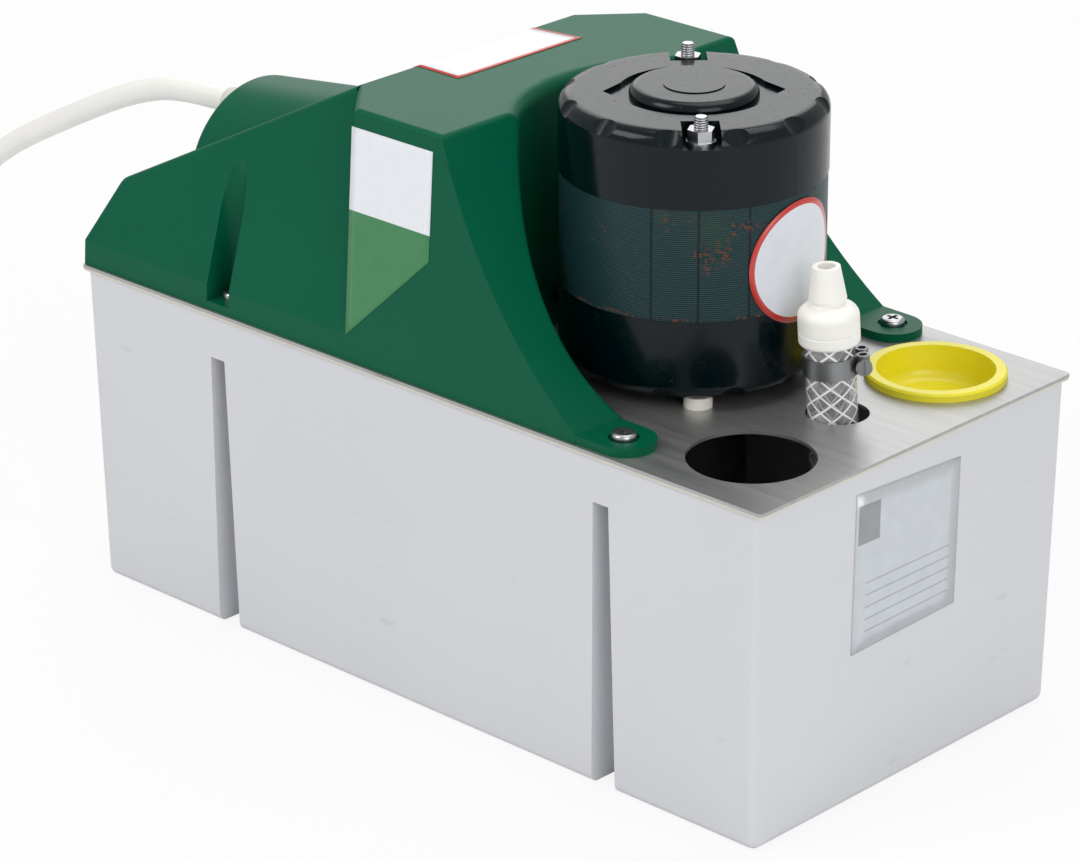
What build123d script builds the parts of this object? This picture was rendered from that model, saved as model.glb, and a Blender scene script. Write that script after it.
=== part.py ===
from build123d import *
import os
from math import asin, atan2, cos, degrees, hypot, pi, radians, sin, tan

os.makedirs("parts", exist_ok=True)

# Condensate pump: a plastic tank under a steel plate that carries the motor, the float switch and
# the pump on its column. Millimetres, +Z up, +X towards the inlets, origin on the floor under the
# tank's middle.

# ---- driving dimensions -------------------------------------------------------------------------
# tank, gasket and plate
plate_length = 280.0
plate_width = 138.5
plate_thick = 1.0
plate_corner = 1.2
gasket_thick = 0.8
gasket_width = 5.5
tank_height = 104.4
tank_wall = 2.5
tank_draft = 0.85  # degrees
tank_corner = 3.0
tank_foot_radius = 2.8
rim_overhang = 1.0  # of the plate past the tank
slot_x = 79.5
slot_height = 90.5
slot_top_width = 6.0
slot_foot_width = 9.3
slot_depth = 12.0
pillar_width = 15.0
pillar_wall = 2.5

# cover screws
front_screw_x = 80.5
front_screw_y = 59.5
rear_screw_x = -78.6
rear_screw_y = 61.0
screw_radius = 2.0
screw_clearance = 0.3
screw_grip = 0.05
screw_length = 14.0
screw_head_radius = 3.7
screw_head_height = 2.6
screw_recess_width = 1.1
pilot_depth = 11.0

# openings in the plate
inlet_end_gap = 28.0  # from the plate's end to the inlets' middle
inlet_y = 41.0
inlet_radius = 18.65
outlet_end_gap = 31.0
outlet_radius = 9.3
shaft_hole_radius = 9.0

# cover
cover_wall = 2.5
cover_rear = -139.5
cover_inset = 0.95  # of the cover's sides from the plate's
cover_height = 76.8
band_height = 7.8
knee_x = -127.3
knee_height = 29.5
plateau_rear = -36.7
plateau_front = 13.0
front_foot_x = 69.8
front_foot_height = 2.6
front_radius = 156.5
rear_half_width = 47.2
front_half_width = 62.8
shoulder_x = -22.4
scoop_radius = 50.5
scoop_rim_radius = 4.0
cover_edge_radius = 1.8
ear_x = 81.0
ear_y = 59.0
ear_radius = 8.9
ear_recess_radius = 4.5
ear_recess_depth = 0.8
groove_radius = 4.9
groove_y = 61.4
groove_floor = 2.5
boss_face_x = -133.0
boss_centre_height = 15.8
boss_radius = 30.0
boss_length = 53.0
boss_lean = 7.0  # degrees

# motor
motor_x = 53.0
motor_radius = 39.3
stack_radius = 39.0
motor_stand = 3.5
lower_cap_height = 24.5
stack_height = 33.9
upper_cap_height = 22.4
cap_wall = 1.5
cap_round = 4.5
cap_inner_round = 5.0
scallop_count = 12
scallop_radius = 9.0
scallop_depth = 1.0
shaft_radius = 4.0
shaft_fit = 0.03
air_gap = 0.4
end_ring_radius = 18.5
end_ring_height = 6.0
stator_bore_radius = 21.0
slot_count = 12
coil_slot_width = 6.0
coil_slot_start = 22.5
coil_slot_end = 30.0
coil_slot_mouth = 2.4
coil_gap = 0.4
coil_overhang = 12.0
bearing_radius = 8.0
bearing_height = 9.0
bearing_wall = 2.5
stud_circle = 33.0
stud_angle = -45.0  # degrees from +X
stud_radius = 2.0
stud_gap = 0.15
stud_proud = 3.6
nut_across_flats = 7.0
nut_height = 4.4
nut_flange_radius = 4.3
nut_flange_height = 1.0
notch_width = 11.0
notch_depth = 4.5
notch_start = 27.0
spacer_radius = 4.2
hub_radius = 18.9
hub_round = 2.8
hub_rise = 2.0
hub_disc_radius = 9.0
hub_disc_rise = 0.3
lens_radius = 22.2
lens_tip = 26.4
lens_depth = 1.2
lens_ear = 20.0  # degrees, where its pointed ends leave the circle
lead_radius = 3.0
lead_height = 10.8
grommet_radius = 5.0
grommet_flange = 1.5
grommet_lip = 1.2
grommet_gap = 0.4

# pump
column_radius = 16.5
column_wall = 3.0
column_flange = 4.0
column_flange_radius = 20.0
column_lug_radius = 6.5
pump_floor = 12.0
chamber_height = 13.0
chamber_top = 4.0
volute_radius = 30.0
volute_wall = 2.5
neck_height = 10.0
neck_gap = 0.15
bush_radius = 8.0
bush_height = 12.0
seal_radius = 7.0
seal_thick = 1.5
impeller_radius = 17.5
impeller_disc = 2.0
impeller_lift = 9.0
vane_count = 6
vane_height = 6.0
vane_thick = 1.6
impeller_hub_radius = 6.5
impeller_nut_radius = 4.5
impeller_nut_height = 2.5
eye_radius = 7.0
pump_cover_thick = 2.5
strainer_radius = 14.0
strainer_wall = 2.0
strainer_height = 5.5
strainer_window = 4.0
strainer_windows = 8
lug_circle = 32.0
lug_radius = 4.0
lug_screws = 4
pump_screw_radius = 1.5
pump_screw_length = 12.0
pump_screw_head = 2.8
tangent_radius = 21.0
discharge_radius = 6.5
discharge_bore = 4.0

# riser hose, clips and check valve; heights are along the hose, from the plate's top
hose_radius = 7.3
hose_bore = 5.0
hose_lean = 3.5  # degrees from upright
hose_heading = 223.6  # degrees from +X, the way it leans
hose_offset = 0.7  # of the hose from the middle of its hole
hose_y = -1.3
hose_top = 21.9
hose_depth = 66.0
barb_gap = 0.05
barb_length = 14.0
barb_neck = 0.5
clip_low = 12.9
clip_width = 5.8
clip_thick = 0.7
clip_gap = 0.05
clip_ear_radius = 1.9
clip_ear_reach = 9.2
clip_ear_spread = 2.6
clip_screw_radius = 1.2
clip_head_radius = 2.4
clip_head_height = 1.8
lower_clip_low = -58.0
valve_radius = 8.9
valve_edge = 0.3
valve_foot_round = 1.2
valve_seam = 25.8
valve_joint = 24.6
valve_joint_radius = 6.5
valve_shoulder_top = 33.2
valve_shoulder_round = 3.5
valve_shoulder_lift = 0.5
valve_neck = 5.0
valve_barb_crest = 5.5
valve_barb_rise = 2.0
valve_barb_top = 4.0
valve_barb_height = 11.5
valve_bore = 2.6
valve_chamber_radius = 4.2
valve_chamber_floor = 23.3
seat_ring_radius = 3.2
seat_ring_thick = 0.9
ball_radius = 3.4
ball_travel = 2.4
ball_gap = 0.3

# inlet plug
plug_flange_radius = 21.0
plug_flange_thick = 2.5
plug_gap = 0.3
plug_taper = 0.9
plug_depth = 12.0
plug_cup_top = 17.6
plug_cup_foot = 16.2
plug_cup_depth = 8.0
plug_cup_round = 4.0

# float and its lever
float_x = -36.0
float_radius = 27.0
float_height = 34.0
float_round = 3.0
float_low = 18.0
float_travel = 24.0
float_clip_radius = 6.0
float_clip_thick = 1.2
rod_radius = 2.5
rod_fit = 0.08
rod_bush_radius = 5.0
rod_bush_flange = 8.0
rod_bush_thick = 2.0
rod_proud = 3.0
lever_reach = 50.0
lever_thick = 2.0
lever_width = 12.0
lever_tip = 7.0
lever_slot_gap = 0.5
lever_play = 0.35
lever_hub_radius = 3.6
collar_radius = 5.0
collar_height = 3.0
pivot_height = 23.0
pin_radius = 2.0
pin_head_radius = 3.0
pin_head_height = 1.2

# switches and their bracket
cam_radius = 5.0
cam_rise = 0.6
cam_width = 3.0
cam_y = 8.0
switch_length = 20.0
switch_reach = 10.0
switch_width = 6.4
switch_gap = 0.4
switch_hole_radius = 1.3
switch_hole_spread = 9.5
switch_screw_radius = 1.15
terminal_tag = 4.0
plunger_radius = 1.2
plunger_reach = 2.4
plunger_root = 4.0
plunger_fit = 0.08
bracket_thick = 1.5
bracket_half_width = 14.75
bracket_front = 6.0
bracket_top = 6.0

# wiring on the plate
block_x = -18.0
block_y = -16.0
block_length = 44.0
block_width = 16.0
block_height = 14.0
block_step = 4.0
block_ways = 5
block_screw_radius = 1.8
plate_screw_radius = 1.5
plate_screw_head = 2.8
plate_screw_length = 5.0
earth_x = -60.0
earth_y = 40.0
earth_washer_radius = 5.0
clamp_x = -58.0
clamp_width = 8.0
clamp_thick = 1.2
clamp_ear = 9.0

# supply cable: it leaves the cover's boss, comes down to the floor and is coiled there
cable_radius = 3.8
cable_height = 34.8
gland_radius = 6.0
gland_flange_radius = 7.5
gland_flange_thick = 1.5
gland_length = 12.0
gland_tip_radius = 4.8
inner_straight = 17.0
inner_y = -30.0
cable_route = [(-166, 0, 141), (-190, 0, 134.6), (-222, 0, 119), (-262, 0, 97.5), (-284, -8, 74),
               (-299, -24, 46), (-304, -44, 22), (-300, -66, 11)]
coil_entry = (-292.5, -87.0)
coil_outer_turn = 43.6
coil_rows = 2
coil_stub = 28.0
stub_sink = 0.4  # of the stub into the turns beside and above it
tail_angle = -60.0  # degrees from +X, where the cable's end lies on the coil
tail_length = 22.0
tail_sink = 0.6  # of the tail into the turns under it
coil_edge_flat = 0.4
core_radius = 1.2
core_length = 24.0
core_spread = 5.0
core_gap = 0.1
tie_angle = 35.0
tie_width = 6.0
tie_thick = 0.8
tie_proud = 0.5

# ---- what follows from them ---------------------------------------------------------------------
inlet_x = plate_length / 2 - inlet_end_gap
outlet_x = plate_length / 2 - outlet_end_gap
hose_x = outlet_x - hose_offset
cover_half_width = plate_width / 2 - cover_inset
plate_bottom = tank_height + gasket_thick
plate_top = plate_bottom + plate_thick
rim_length = plate_length - 2 * rim_overhang
rim_width = plate_width - 2 * rim_overhang
draft_inset = tank_height * tan(radians(tank_draft))
foot_length = rim_length - 2 * draft_inset
foot_width = rim_width - 2 * draft_inset
slot_floor_y = rim_width / 2 - slot_depth
sides = (-1, 1)
front_screws = [(front_screw_x, side * front_screw_y) for side in sides]
rear_screws = [(rear_screw_x, side * rear_screw_y) for side in sides]
cover_top = plate_top + cover_height
boss_z = plate_top + boss_centre_height

motor_base = plate_top + motor_stand
stack_bottom = motor_base + lower_cap_height
stack_top = stack_bottom + stack_height
motor_top = stack_top + upper_cap_height
rotor_radius = stator_bore_radius - air_gap
stud_spots = [(motor_x + stud_circle * cos(radians(stud_angle + turn)),
               stud_circle * sin(radians(stud_angle + turn))) for turn in (0, 180)]
foot_spots = [(motor_x + stud_circle * cos(radians(stud_angle + turn)),
               stud_circle * sin(radians(stud_angle + turn))) for turn in (90, 270)]
notch_floor = motor_top - notch_depth
hub_top = motor_top + hub_rise
lens_floor = motor_top - lens_depth
lower_bearing_z = motor_base + cap_wall + 2
upper_bearing_z = lens_floor - cap_wall - bearing_height
lead_z = plate_top + lead_height

chamber_ceiling = pump_floor + chamber_height
column_foot = chamber_ceiling + chamber_top
column_bore = column_radius - column_wall
neck_top = column_foot + neck_height
impeller_z = pump_floor + impeller_lift
shaft_foot = impeller_z - vane_height - impeller_nut_height
discharge_z = pump_floor + chamber_height / 2

lean = radians(hose_lean)
heading = radians(hose_heading)
hose_dir = Vector(sin(lean) * cos(heading), sin(lean) * sin(heading), cos(lean))
hose_side = Vector(-cos(heading), -sin(heading), 0)
hose_plane = Plane(origin=(hose_x, hose_y, plate_top), x_dir=hose_side, z_dir=hose_dir)
elbow_drop = (plate_top - discharge_z) / cos(lean)
elbow = Vector(hose_x, hose_y, plate_top) - hose_dir * elbow_drop

lever_angle = atan2(float_travel / 2, lever_reach)
pivot_x = float_x - lever_reach
pivot_z = plate_top + pivot_height
fork_z = pivot_z - float_travel / 2
collar_gap = lever_thick / cos(lever_angle) + 2 * collar_radius * tan(lever_angle) + 2 * lever_play
cam_offset = cam_rise / (2 * sin(lever_angle))
cam_edge_x = pivot_x + cam_offset * sin(lever_angle) - cam_radius
switch_face_x = cam_edge_x - switch_gap - plunger_reach
bracket_rear_x = switch_face_x - switch_reach - 1
rod_top = fork_z + collar_gap / 2 + collar_height + rod_proud

gland_z = plate_top + cable_height
gland_end_x = boss_face_x - gland_length
cable_floor = plate_top + cable_radius
cable_start = (gland_end_x, 0, gland_z)
inner_route = [(boss_face_x + inner_straight, 0, gland_z), (boss_face_x + 27, -26, plate_top + 18)]


# ---- tank, gasket and plate ---------------------------------------------------------------------
with BuildPart() as side_slots:
    with BuildSketch(Plane.XZ):
        with BuildLine():
            Polyline((-slot_foot_width / 2, -1), (slot_foot_width / 2, -1), (slot_top_width / 2, slot_height),
                     (-slot_top_width / 2, slot_height), close=True)
        make_face()
    extrude(amount=plate_width, both=True)
    Box(plate_length, 2 * slot_floor_y, 3 * tank_height, mode=Mode.SUBTRACT)

with BuildPart() as tank:
    with BuildSketch():
        Rectangle(foot_length, foot_width)
    extrude(amount=tank_height, taper=-tank_draft)
    fillet(tank.edges().filter_by(lambda edge: edge.length > tank_height / 2
                                  and abs(edge.tangent_at(0.5).Z) > 0.9), tank_corner)
    fillet(tank.faces().sort_by(Axis.Z)[0].edges(), tank_foot_radius)
    with BuildSketch(Plane.XY.offset(tank_wall)):
        Rectangle(foot_length - 2 * tank_wall, foot_width - 2 * tank_wall)
    extrude(amount=tank_height, taper=-tank_draft, mode=Mode.SUBTRACT)
    pillar_inner_y = slot_floor_y - pillar_wall
    pillar_outer_y = foot_width / 2 - tank_wall / 2
    with Locations(*[(end * slot_x, side * (pillar_inner_y + pillar_outer_y) / 2, tank_height)
                     for end in sides for side in sides]):
        Box(pillar_width, pillar_outer_y - pillar_inner_y, tank_height - tank_wall / 2,
            align=(Align.CENTER, Align.CENTER, Align.MAX))
    for end in sides:
        add(side_slots.part.moved(Location((end * slot_x, 0, 0))), mode=Mode.SUBTRACT)
    with Locations(*[(x, y, tank_height) for x, y in front_screws + rear_screws]):
        Hole(screw_radius + screw_grip, depth=pilot_depth)
tank.part.label = "tank"
export_step(tank.part, "parts/tank.step")

with BuildPart() as rim_gasket:
    with BuildSketch(Plane.XY.offset(tank_height)):
        RectangleRounded(plate_length - 0.4, plate_width - 0.4, plate_corner)
        Rectangle(plate_length - 2 * gasket_width, plate_width - 2 * gasket_width, mode=Mode.SUBTRACT)
        with Locations(*[(end * slot_x, side * (pillar_inner_y + rim_width / 2) / 2)
                         for end in sides for side in sides]):
            Rectangle(pillar_width, rim_width / 2 - pillar_inner_y)
        with Locations(*front_screws, *rear_screws):
            Circle(screw_radius + screw_clearance, mode=Mode.SUBTRACT)
    extrude(amount=gasket_thick)
rim_gasket.part.label = "rim_gasket"
export_step(rim_gasket.part, "parts/rim_gasket.step")

bracket_screws = [(bracket_rear_x + 4, 0), (pivot_x + bracket_front - 4, 0)]
block_screws = [(block_x, block_y + end * (block_length / 2 - 3)) for end in sides]
clamp_screws = [(clamp_x, inner_y + side * (cable_radius + clamp_ear / 2)) for side in sides]
plate_screw_spots = bracket_screws + block_screws + clamp_screws
with BuildPart() as top_plate:
    with BuildSketch(Plane.XY.offset(plate_bottom)):
        RectangleRounded(plate_length, plate_width, plate_corner)
        with Locations((inlet_x, -inlet_y), (inlet_x, inlet_y)):
            Circle(inlet_radius, mode=Mode.SUBTRACT)
        with Locations((outlet_x, 0)):
            Circle(outlet_radius, mode=Mode.SUBTRACT)
        with Locations((motor_x, 0)):
            Circle(shaft_hole_radius, mode=Mode.SUBTRACT)
        with Locations((float_x, 0)):
            Circle(rod_bush_radius + neck_gap, mode=Mode.SUBTRACT)
        with Locations(*front_screws, *rear_screws, *stud_spots):
            Circle(screw_radius + screw_clearance, mode=Mode.SUBTRACT)
        with Locations(*plate_screw_spots, (earth_x, earth_y)):
            Circle(plate_screw_radius + neck_gap, mode=Mode.SUBTRACT)
    extrude(amount=plate_thick)
top_plate.part.label = "top_plate"
export_step(top_plate.part, "parts/top_plate.step")


# ---- cover --------------------------------------------------------------------------------------
def side_prism(start, length, corners):
    """A prism along X, its cross-section mirrored about the middle; corners are (y, z)."""
    with BuildPart() as prism:
        with BuildSketch(Plane.YZ.offset(start)):
            with BuildLine():
                Polyline(*corners, *[(-y, z) for y, z in reversed(corners)], close=True)
            make_face()
        extrude(amount=length)
    return prism.part


def cover_form(inset, base):
    """The cover as a solid form down to base, with its walls and top moved in by inset."""
    below = plate_top - cover_height
    above = cover_top + cover_height
    side_slope = (cover_half_width - front_half_width) / cover_height
    band_top = plate_top + band_height
    band_half_width = cover_half_width - side_slope * band_height
    rear_slope = (band_half_width - rear_half_width) / (cover_height - band_height)
    side_inset = inset * hypot(1, side_slope)
    rear_inset = inset * hypot(1, rear_slope)
    bend = band_top - (rear_inset - side_inset) / (rear_slope - side_slope)

    def side_corner(z):
        return cover_half_width - side_slope * (z - plate_top) - side_inset, z

    def rear_corner(z):
        return band_half_width - rear_slope * (z - band_top) - rear_inset, z

    rear = side_prism(cover_rear, front_foot_x - cover_rear,
                      [side_corner(below), side_corner(bend), rear_corner(above)])
    front_rear_x = 2 * plateau_rear
    front = side_prism(front_rear_x, 2 * front_foot_x - front_rear_x,
                       [side_corner(below), side_corner(above)])
    with BuildPart() as ahead_of_shoulder:
        add(front)
        for side in sides:
            inner_corner = Vector(plateau_rear, side * rear_half_width, cover_top)
            outer_corner = Vector(shoulder_x, side * front_half_width, cover_top)
            low_corner = Vector(shoulder_x, side * band_half_width, band_top)
            outward = (outer_corner - inner_corner).cross(low_corner - inner_corner).normalized() * side
            with BuildSketch(Plane(outer_corner - outward * inset, outer_corner - inner_corner, outward)):
                Rectangle(2 * plate_length, 2 * plate_length)
            extrude(amount=plate_width, mode=Mode.SUBTRACT)
    with BuildPart() as side_view:
        with BuildSketch(Plane.XZ):
            with BuildLine():
                front_foot = (front_foot_x, plate_top + front_foot_height)
                Polyline((front_foot_x, base), (cover_rear, base), (cover_rear, band_top),
                         (knee_x, plate_top + knee_height), (plateau_rear, cover_top),
                         (plateau_front, cover_top))
                RadiusArc((plateau_front, cover_top), front_foot, -front_radius)
                Line(front_foot, (front_foot_x, base))
            make_face()
            if inset:
                offset(amount=-inset, kind=Kind.INTERSECTION)
        extrude(amount=plate_width, both=True)
    with BuildPart() as form:
        add(rear)
        add(ahead_of_shoulder.part)
        add(side_view.part, mode=Mode.INTERSECT)
        with BuildSketch(Plane.XY.offset(below)):
            with Locations((motor_x, 0)):
                Circle(scoop_radius + inset)
        extrude(amount=above - below, mode=Mode.SUBTRACT)
    return form.part


def boss_form(inset):
    """The half-round boss that the cable leaves from, a cone that widens forwards."""
    with BuildPart() as cone:
        with BuildSketch(Plane.YZ.offset(boss_face_x + inset)):
            with Locations((0, boss_z)):
                Circle(boss_radius - inset)
        extrude(amount=boss_length - inset, taper=-boss_lean)
    return cone.part


def groove_form(side, width, floor):
    """The screwdriver channel down one side of the cover, open outwards and upwards."""
    with BuildPart() as channel:
        with BuildSketch(Plane.XY.offset(floor)):
            with Locations((rear_screw_x, side * groove_y)):
                Circle(width)
            with Locations((rear_screw_x, side * (groove_y + plate_width / 2))):
                Rectangle(2 * width, plate_width)
        extrude(amount=2 * cover_height)
    return channel.part


hollow_base = plate_top - 4 * cover_wall
with BuildPart() as cover_hollow:
    add(cover_form(cover_wall, hollow_base))
    add(boss_form(cover_wall))
    for side in sides:
        add(groove_form(side, groove_radius + cover_wall, hollow_base - 1), mode=Mode.SUBTRACT)

with BuildPart() as cover:
    add(cover_form(0, plate_top))
    add(boss_form(0))
    with BuildSketch(Plane.XY.offset(plate_top)):
        Rectangle(2 * plate_length, 2 * plate_width)
    extrude(amount=-plate_top, mode=Mode.SUBTRACT)
    fillet(cover.edges().filter_by(GeomType.CIRCLE).filter_by(
        lambda edge: abs(edge.center().Z - cover_top) < 0.1), scoop_rim_radius)
    fillet(cover.edges().filter_by(lambda edge: edge.bounding_box().min.Z > plate_top + band_height + 1),
           cover_edge_radius)
    for side in sides:
        add(groove_form(side, groove_radius, plate_top + groove_floor), mode=Mode.SUBTRACT)
    for side in sides:
        with BuildSketch(Plane.XY.offset(plate_top)):
            with Locations((ear_x, side * ear_y)):
                Circle(ear_radius)
            with Locations((front_foot_x - ear_radius / 2, side * ear_y)):
                Rectangle(ear_radius, 2 * (cover_half_width - ear_y) - 0.4)
            make_hull()
        extrude(amount=front_foot_height)
    add(cover_hollow.part, mode=Mode.SUBTRACT)
    with Locations(*[(x, y, plate_top + front_foot_height) for x, y in front_screws]):
        CounterBoreHole(screw_radius + screw_clearance, ear_recess_radius, ear_recess_depth)
    with Locations(*[(x, y, plate_top + groove_floor) for x, y in rear_screws]):
        Hole(screw_radius + screw_clearance, depth=2 * groove_floor)
    with BuildSketch(Plane.YZ.offset(boss_face_x - 1)):
        with Locations((0, gland_z)):
            Circle(gland_radius + neck_gap)
    extrude(amount=cover_wall + 2, mode=Mode.SUBTRACT)
    with BuildSketch(Plane.YZ.offset(motor_x - scoop_radius - cover_wall - 3)):
        with Locations((0, lead_z)):
            Circle(grommet_radius + neck_gap)
    extrude(amount=cover_wall + 6, mode=Mode.SUBTRACT)
cover.part.label = "cover"
export_step(cover.part, "parts/cover.step")


def pan_screw(radius, length, head_radius, head_height, recess):
    """A pan-head screw whose head sits on z = 0, with a cross recess."""
    with BuildPart() as screw:
        Cylinder(radius, length, align=(Align.CENTER, Align.CENTER, Align.MAX))
        Cylinder(head_radius, head_height, align=(Align.CENTER, Align.CENTER, Align.MIN))
        fillet(screw.faces().sort_by(Axis.Z)[-1].edges(), head_height * 0.45)
        with BuildSketch(Plane.XY.offset(head_height)):
            Rectangle(head_radius * 1.1, recess)
            Rectangle(recess, head_radius * 1.1)
        extrude(amount=-head_height / 2, mode=Mode.SUBTRACT)
    return screw.part


cover_screw = pan_screw(screw_radius, screw_length, screw_head_radius, screw_head_height, screw_recess_width)
front_seat = plate_top + front_foot_height - ear_recess_depth
with BuildPart() as cover_screws:
    for x, y in front_screws:
        add(cover_screw.moved(Location((x, y, front_seat))))
    for x, y in rear_screws:
        add(cover_screw.moved(Location((x, y, plate_top + groove_floor))))
cover_screws.part.label = "cover_screws"
export_step(cover_screws.part, "parts/cover_screws.step")


# ---- motor --------------------------------------------------------------------------------------
def ring(inner, outer, low, high, x=0.0, y=0.0):
    """An upright ring between two heights."""
    with BuildPart() as made:
        with BuildSketch(Plane.XY.offset(low)):
            with Locations((x, y)):
                Circle(outer)
                Circle(inner, mode=Mode.SUBTRACT)
        extrude(amount=high - low)
    return made.part


def rim_scallops(height, side):
    """Shallow scoops round a cap's shoulder; side is 1 at the cap's top and -1 at its foot."""
    shoulder_drop = cap_round - cap_round / 2 ** 0.5
    reach = motor_radius - shoulder_drop
    with BuildPart() as scoops:
        for k in range(scallop_count):
            turn = radians(stud_angle) + 2 * pi * (k + 0.5) / scallop_count
            outwards = Vector(cos(turn), sin(turn), side) / 2 ** 0.5
            spot = Vector(motor_x + reach * cos(turn), reach * sin(turn), height - side * shoulder_drop)
            with BuildSketch(Plane(origin=spot + outwards * (scallop_radius - scallop_depth),
                                   z_dir=Vector(cos(turn), sin(turn), -side))):
                Circle(scallop_radius)
            extrude(amount=scallop_radius, both=True)
    return scoops.part


with BuildPart() as lower_cap_hollow:
    with Locations((motor_x, 0, motor_base + cap_wall)):
        Cylinder(motor_radius - cap_wall, lower_cap_height, align=(Align.CENTER, Align.CENTER, Align.MIN))
    fillet(lower_cap_hollow.faces().sort_by(Axis.Z)[0].edges(), cap_inner_round)

with BuildPart() as motor_bottom_cap:
    with BuildSketch(Plane.XY.offset(motor_base)):
        with Locations((motor_x, 0)):
            Circle(motor_radius)
    extrude(amount=lower_cap_height)
    fillet(motor_bottom_cap.faces().sort_by(Axis.Z)[0].edges(), cap_round)
    add(rim_scallops(motor_base, -1), mode=Mode.SUBTRACT)
    add(lower_cap_hollow.part, mode=Mode.SUBTRACT)
    add(ring(bearing_radius, bearing_radius + bearing_wall, motor_base, lower_bearing_z + bearing_height,
             motor_x))
    with Locations((motor_x, 0, lower_bearing_z)):
        Hole(shaft_radius + air_gap, depth=2 * bearing_height)
    with Locations(*[(x, y, motor_base + lower_cap_height) for x, y in stud_spots]):
        Hole(stud_radius + stud_gap)
    with BuildSketch(Plane.YZ.offset(motor_x - motor_radius - 1)):
        with Locations((0, lead_z)):
            Circle(lead_radius + neck_gap)
    extrude(amount=cap_wall + 2, mode=Mode.SUBTRACT)
motor_bottom_cap.part.label = "motor_bottom_cap"
export_step(motor_bottom_cap.part, "parts/motor_bottom_cap.step")

with BuildPart() as upper_cap_hollow:
    add(ring(notch_start, motor_radius - cap_wall, stack_top - 1, motor_top - cap_wall, motor_x))
    fillet(upper_cap_hollow.edges().filter_by(GeomType.CIRCLE).group_by(Axis.Z)[-1].sort_by(SortBy.RADIUS)[-1],
           cap_inner_round)
    with BuildSketch(Plane.XY.offset(stack_top - 1)):
        with Locations((motor_x, 0)):
            Circle(notch_start)
    extrude(amount=lens_floor - cap_wall - stack_top + 1)
    for turn in (0, 180):
        with BuildSketch(Plane.XY.offset(notch_floor - cap_wall)):
            with Locations(Location((motor_x, 0, 0), (0, 0, 1), stud_angle + turn)):
                with Locations((notch_start + motor_radius / 2 - cap_wall, 0)):
                    Rectangle(motor_radius, notch_width + 2 * cap_wall)
        extrude(amount=motor_radius, mode=Mode.SUBTRACT)

with BuildPart() as motor_top_cap:
    with BuildSketch(Plane.XY.offset(stack_top)):
        with Locations((motor_x, 0)):
            Circle(motor_radius)
    extrude(amount=upper_cap_height)
    fillet(motor_top_cap.faces().sort_by(Axis.Z)[-1].edges(), cap_round)
    add(rim_scallops(motor_top, 1), mode=Mode.SUBTRACT)
    with BuildSketch(Plane.XY.offset(lens_floor)):
        with Locations(Location((motor_x, 0, 0), (0, 0, 1), stud_angle + 90)):
            Circle(lens_radius)
            ear_spot = Vector(lens_radius * cos(radians(lens_ear)), lens_radius * sin(radians(lens_ear)))
            for end in sides:
                Polygon((end * lens_tip, 0), (end * ear_spot.X, ear_spot.Y), (end * ear_spot.X, -ear_spot.Y),
                        align=None)
    extrude(amount=2 * lens_depth, mode=Mode.SUBTRACT)
    with BuildSketch(Plane.XY.offset(lens_floor)):
        with Locations((motor_x, 0)):
            Circle(hub_radius)
    extrude(amount=hub_top - lens_floor)
    fillet(motor_top_cap.faces().sort_by(Axis.Z)[-1].edges(), hub_round)
    with BuildSketch(Plane.XY.offset(hub_top)):
        with Locations((motor_x, 0)):
            Circle(hub_disc_radius)
    extrude(amount=hub_disc_rise)
    add(upper_cap_hollow.part, mode=Mode.SUBTRACT)
    add(ring(bearing_radius, bearing_radius + bearing_wall, upper_bearing_z, lens_floor, motor_x))
    for turn in (0, 180):
        with BuildSketch(Plane.XY.offset(notch_floor)):
            with Locations(Location((motor_x, 0, 0), (0, 0, 1), stud_angle + turn)):
                with Locations((notch_start + motor_radius / 2, 0)):
                    Rectangle(motor_radius, notch_width)
        extrude(amount=motor_radius, mode=Mode.SUBTRACT)
    with Locations(*[(x, y, motor_top) for x, y in stud_spots]):
        Hole(stud_radius + stud_gap)
motor_top_cap.part.label = "motor_top_cap"
export_step(motor_top_cap.part, "parts/motor_top_cap.step")

with BuildPart() as lamination_stack:
    with BuildSketch(Plane.XY.offset(stack_bottom)):
        with Locations((motor_x, 0)):
            Circle(stack_radius)
            Circle(stator_bore_radius, mode=Mode.SUBTRACT)
            with PolarLocations(0, slot_count, start_angle=stud_angle + 180 / slot_count):
                with Locations(((coil_slot_start + coil_slot_end) / 2, 0)):
                    Rectangle(coil_slot_end - coil_slot_start, coil_slot_width, mode=Mode.SUBTRACT)
                with Locations((stator_bore_radius, 0)):
                    Rectangle(2 * (coil_slot_start - stator_bore_radius) + 1, coil_slot_mouth,
                              mode=Mode.SUBTRACT)
        with Locations(*stud_spots):
            Circle(stud_radius + stud_gap, mode=Mode.SUBTRACT)
    extrude(amount=stack_height)
lamination_stack.part.label = "lamination_stack"
export_step(lamination_stack.part, "parts/lamination_stack.step")

coil_inner = coil_slot_start + coil_gap
coil_outer = coil_slot_end - coil_gap
with BuildPart() as stator_windings:
    add(ring(coil_inner, coil_outer, stack_top + coil_gap, stack_top + coil_overhang, motor_x))
    add(ring(coil_inner, coil_outer, stack_bottom - coil_overhang, stack_bottom - coil_gap, motor_x))
    with BuildSketch(Plane.XY.offset(stack_bottom - coil_overhang / 2)):
        with Locations((motor_x, 0)):
            with PolarLocations((coil_inner + coil_outer) / 2 + coil_gap / 2, slot_count,
                                start_angle=stud_angle + 180 / slot_count):
                Rectangle(coil_outer - coil_inner - coil_gap, coil_slot_width - 2 * coil_gap)
    extrude(amount=stack_height + coil_overhang)
stator_windings.part.label = "stator_windings"
export_step(stator_windings.part, "parts/stator_windings.step")

rotor_core = ring(shaft_radius, rotor_radius, stack_bottom, stack_top, motor_x)
rotor_core.label = "rotor_core"
export_step(rotor_core, "parts/rotor_core.step")

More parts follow.
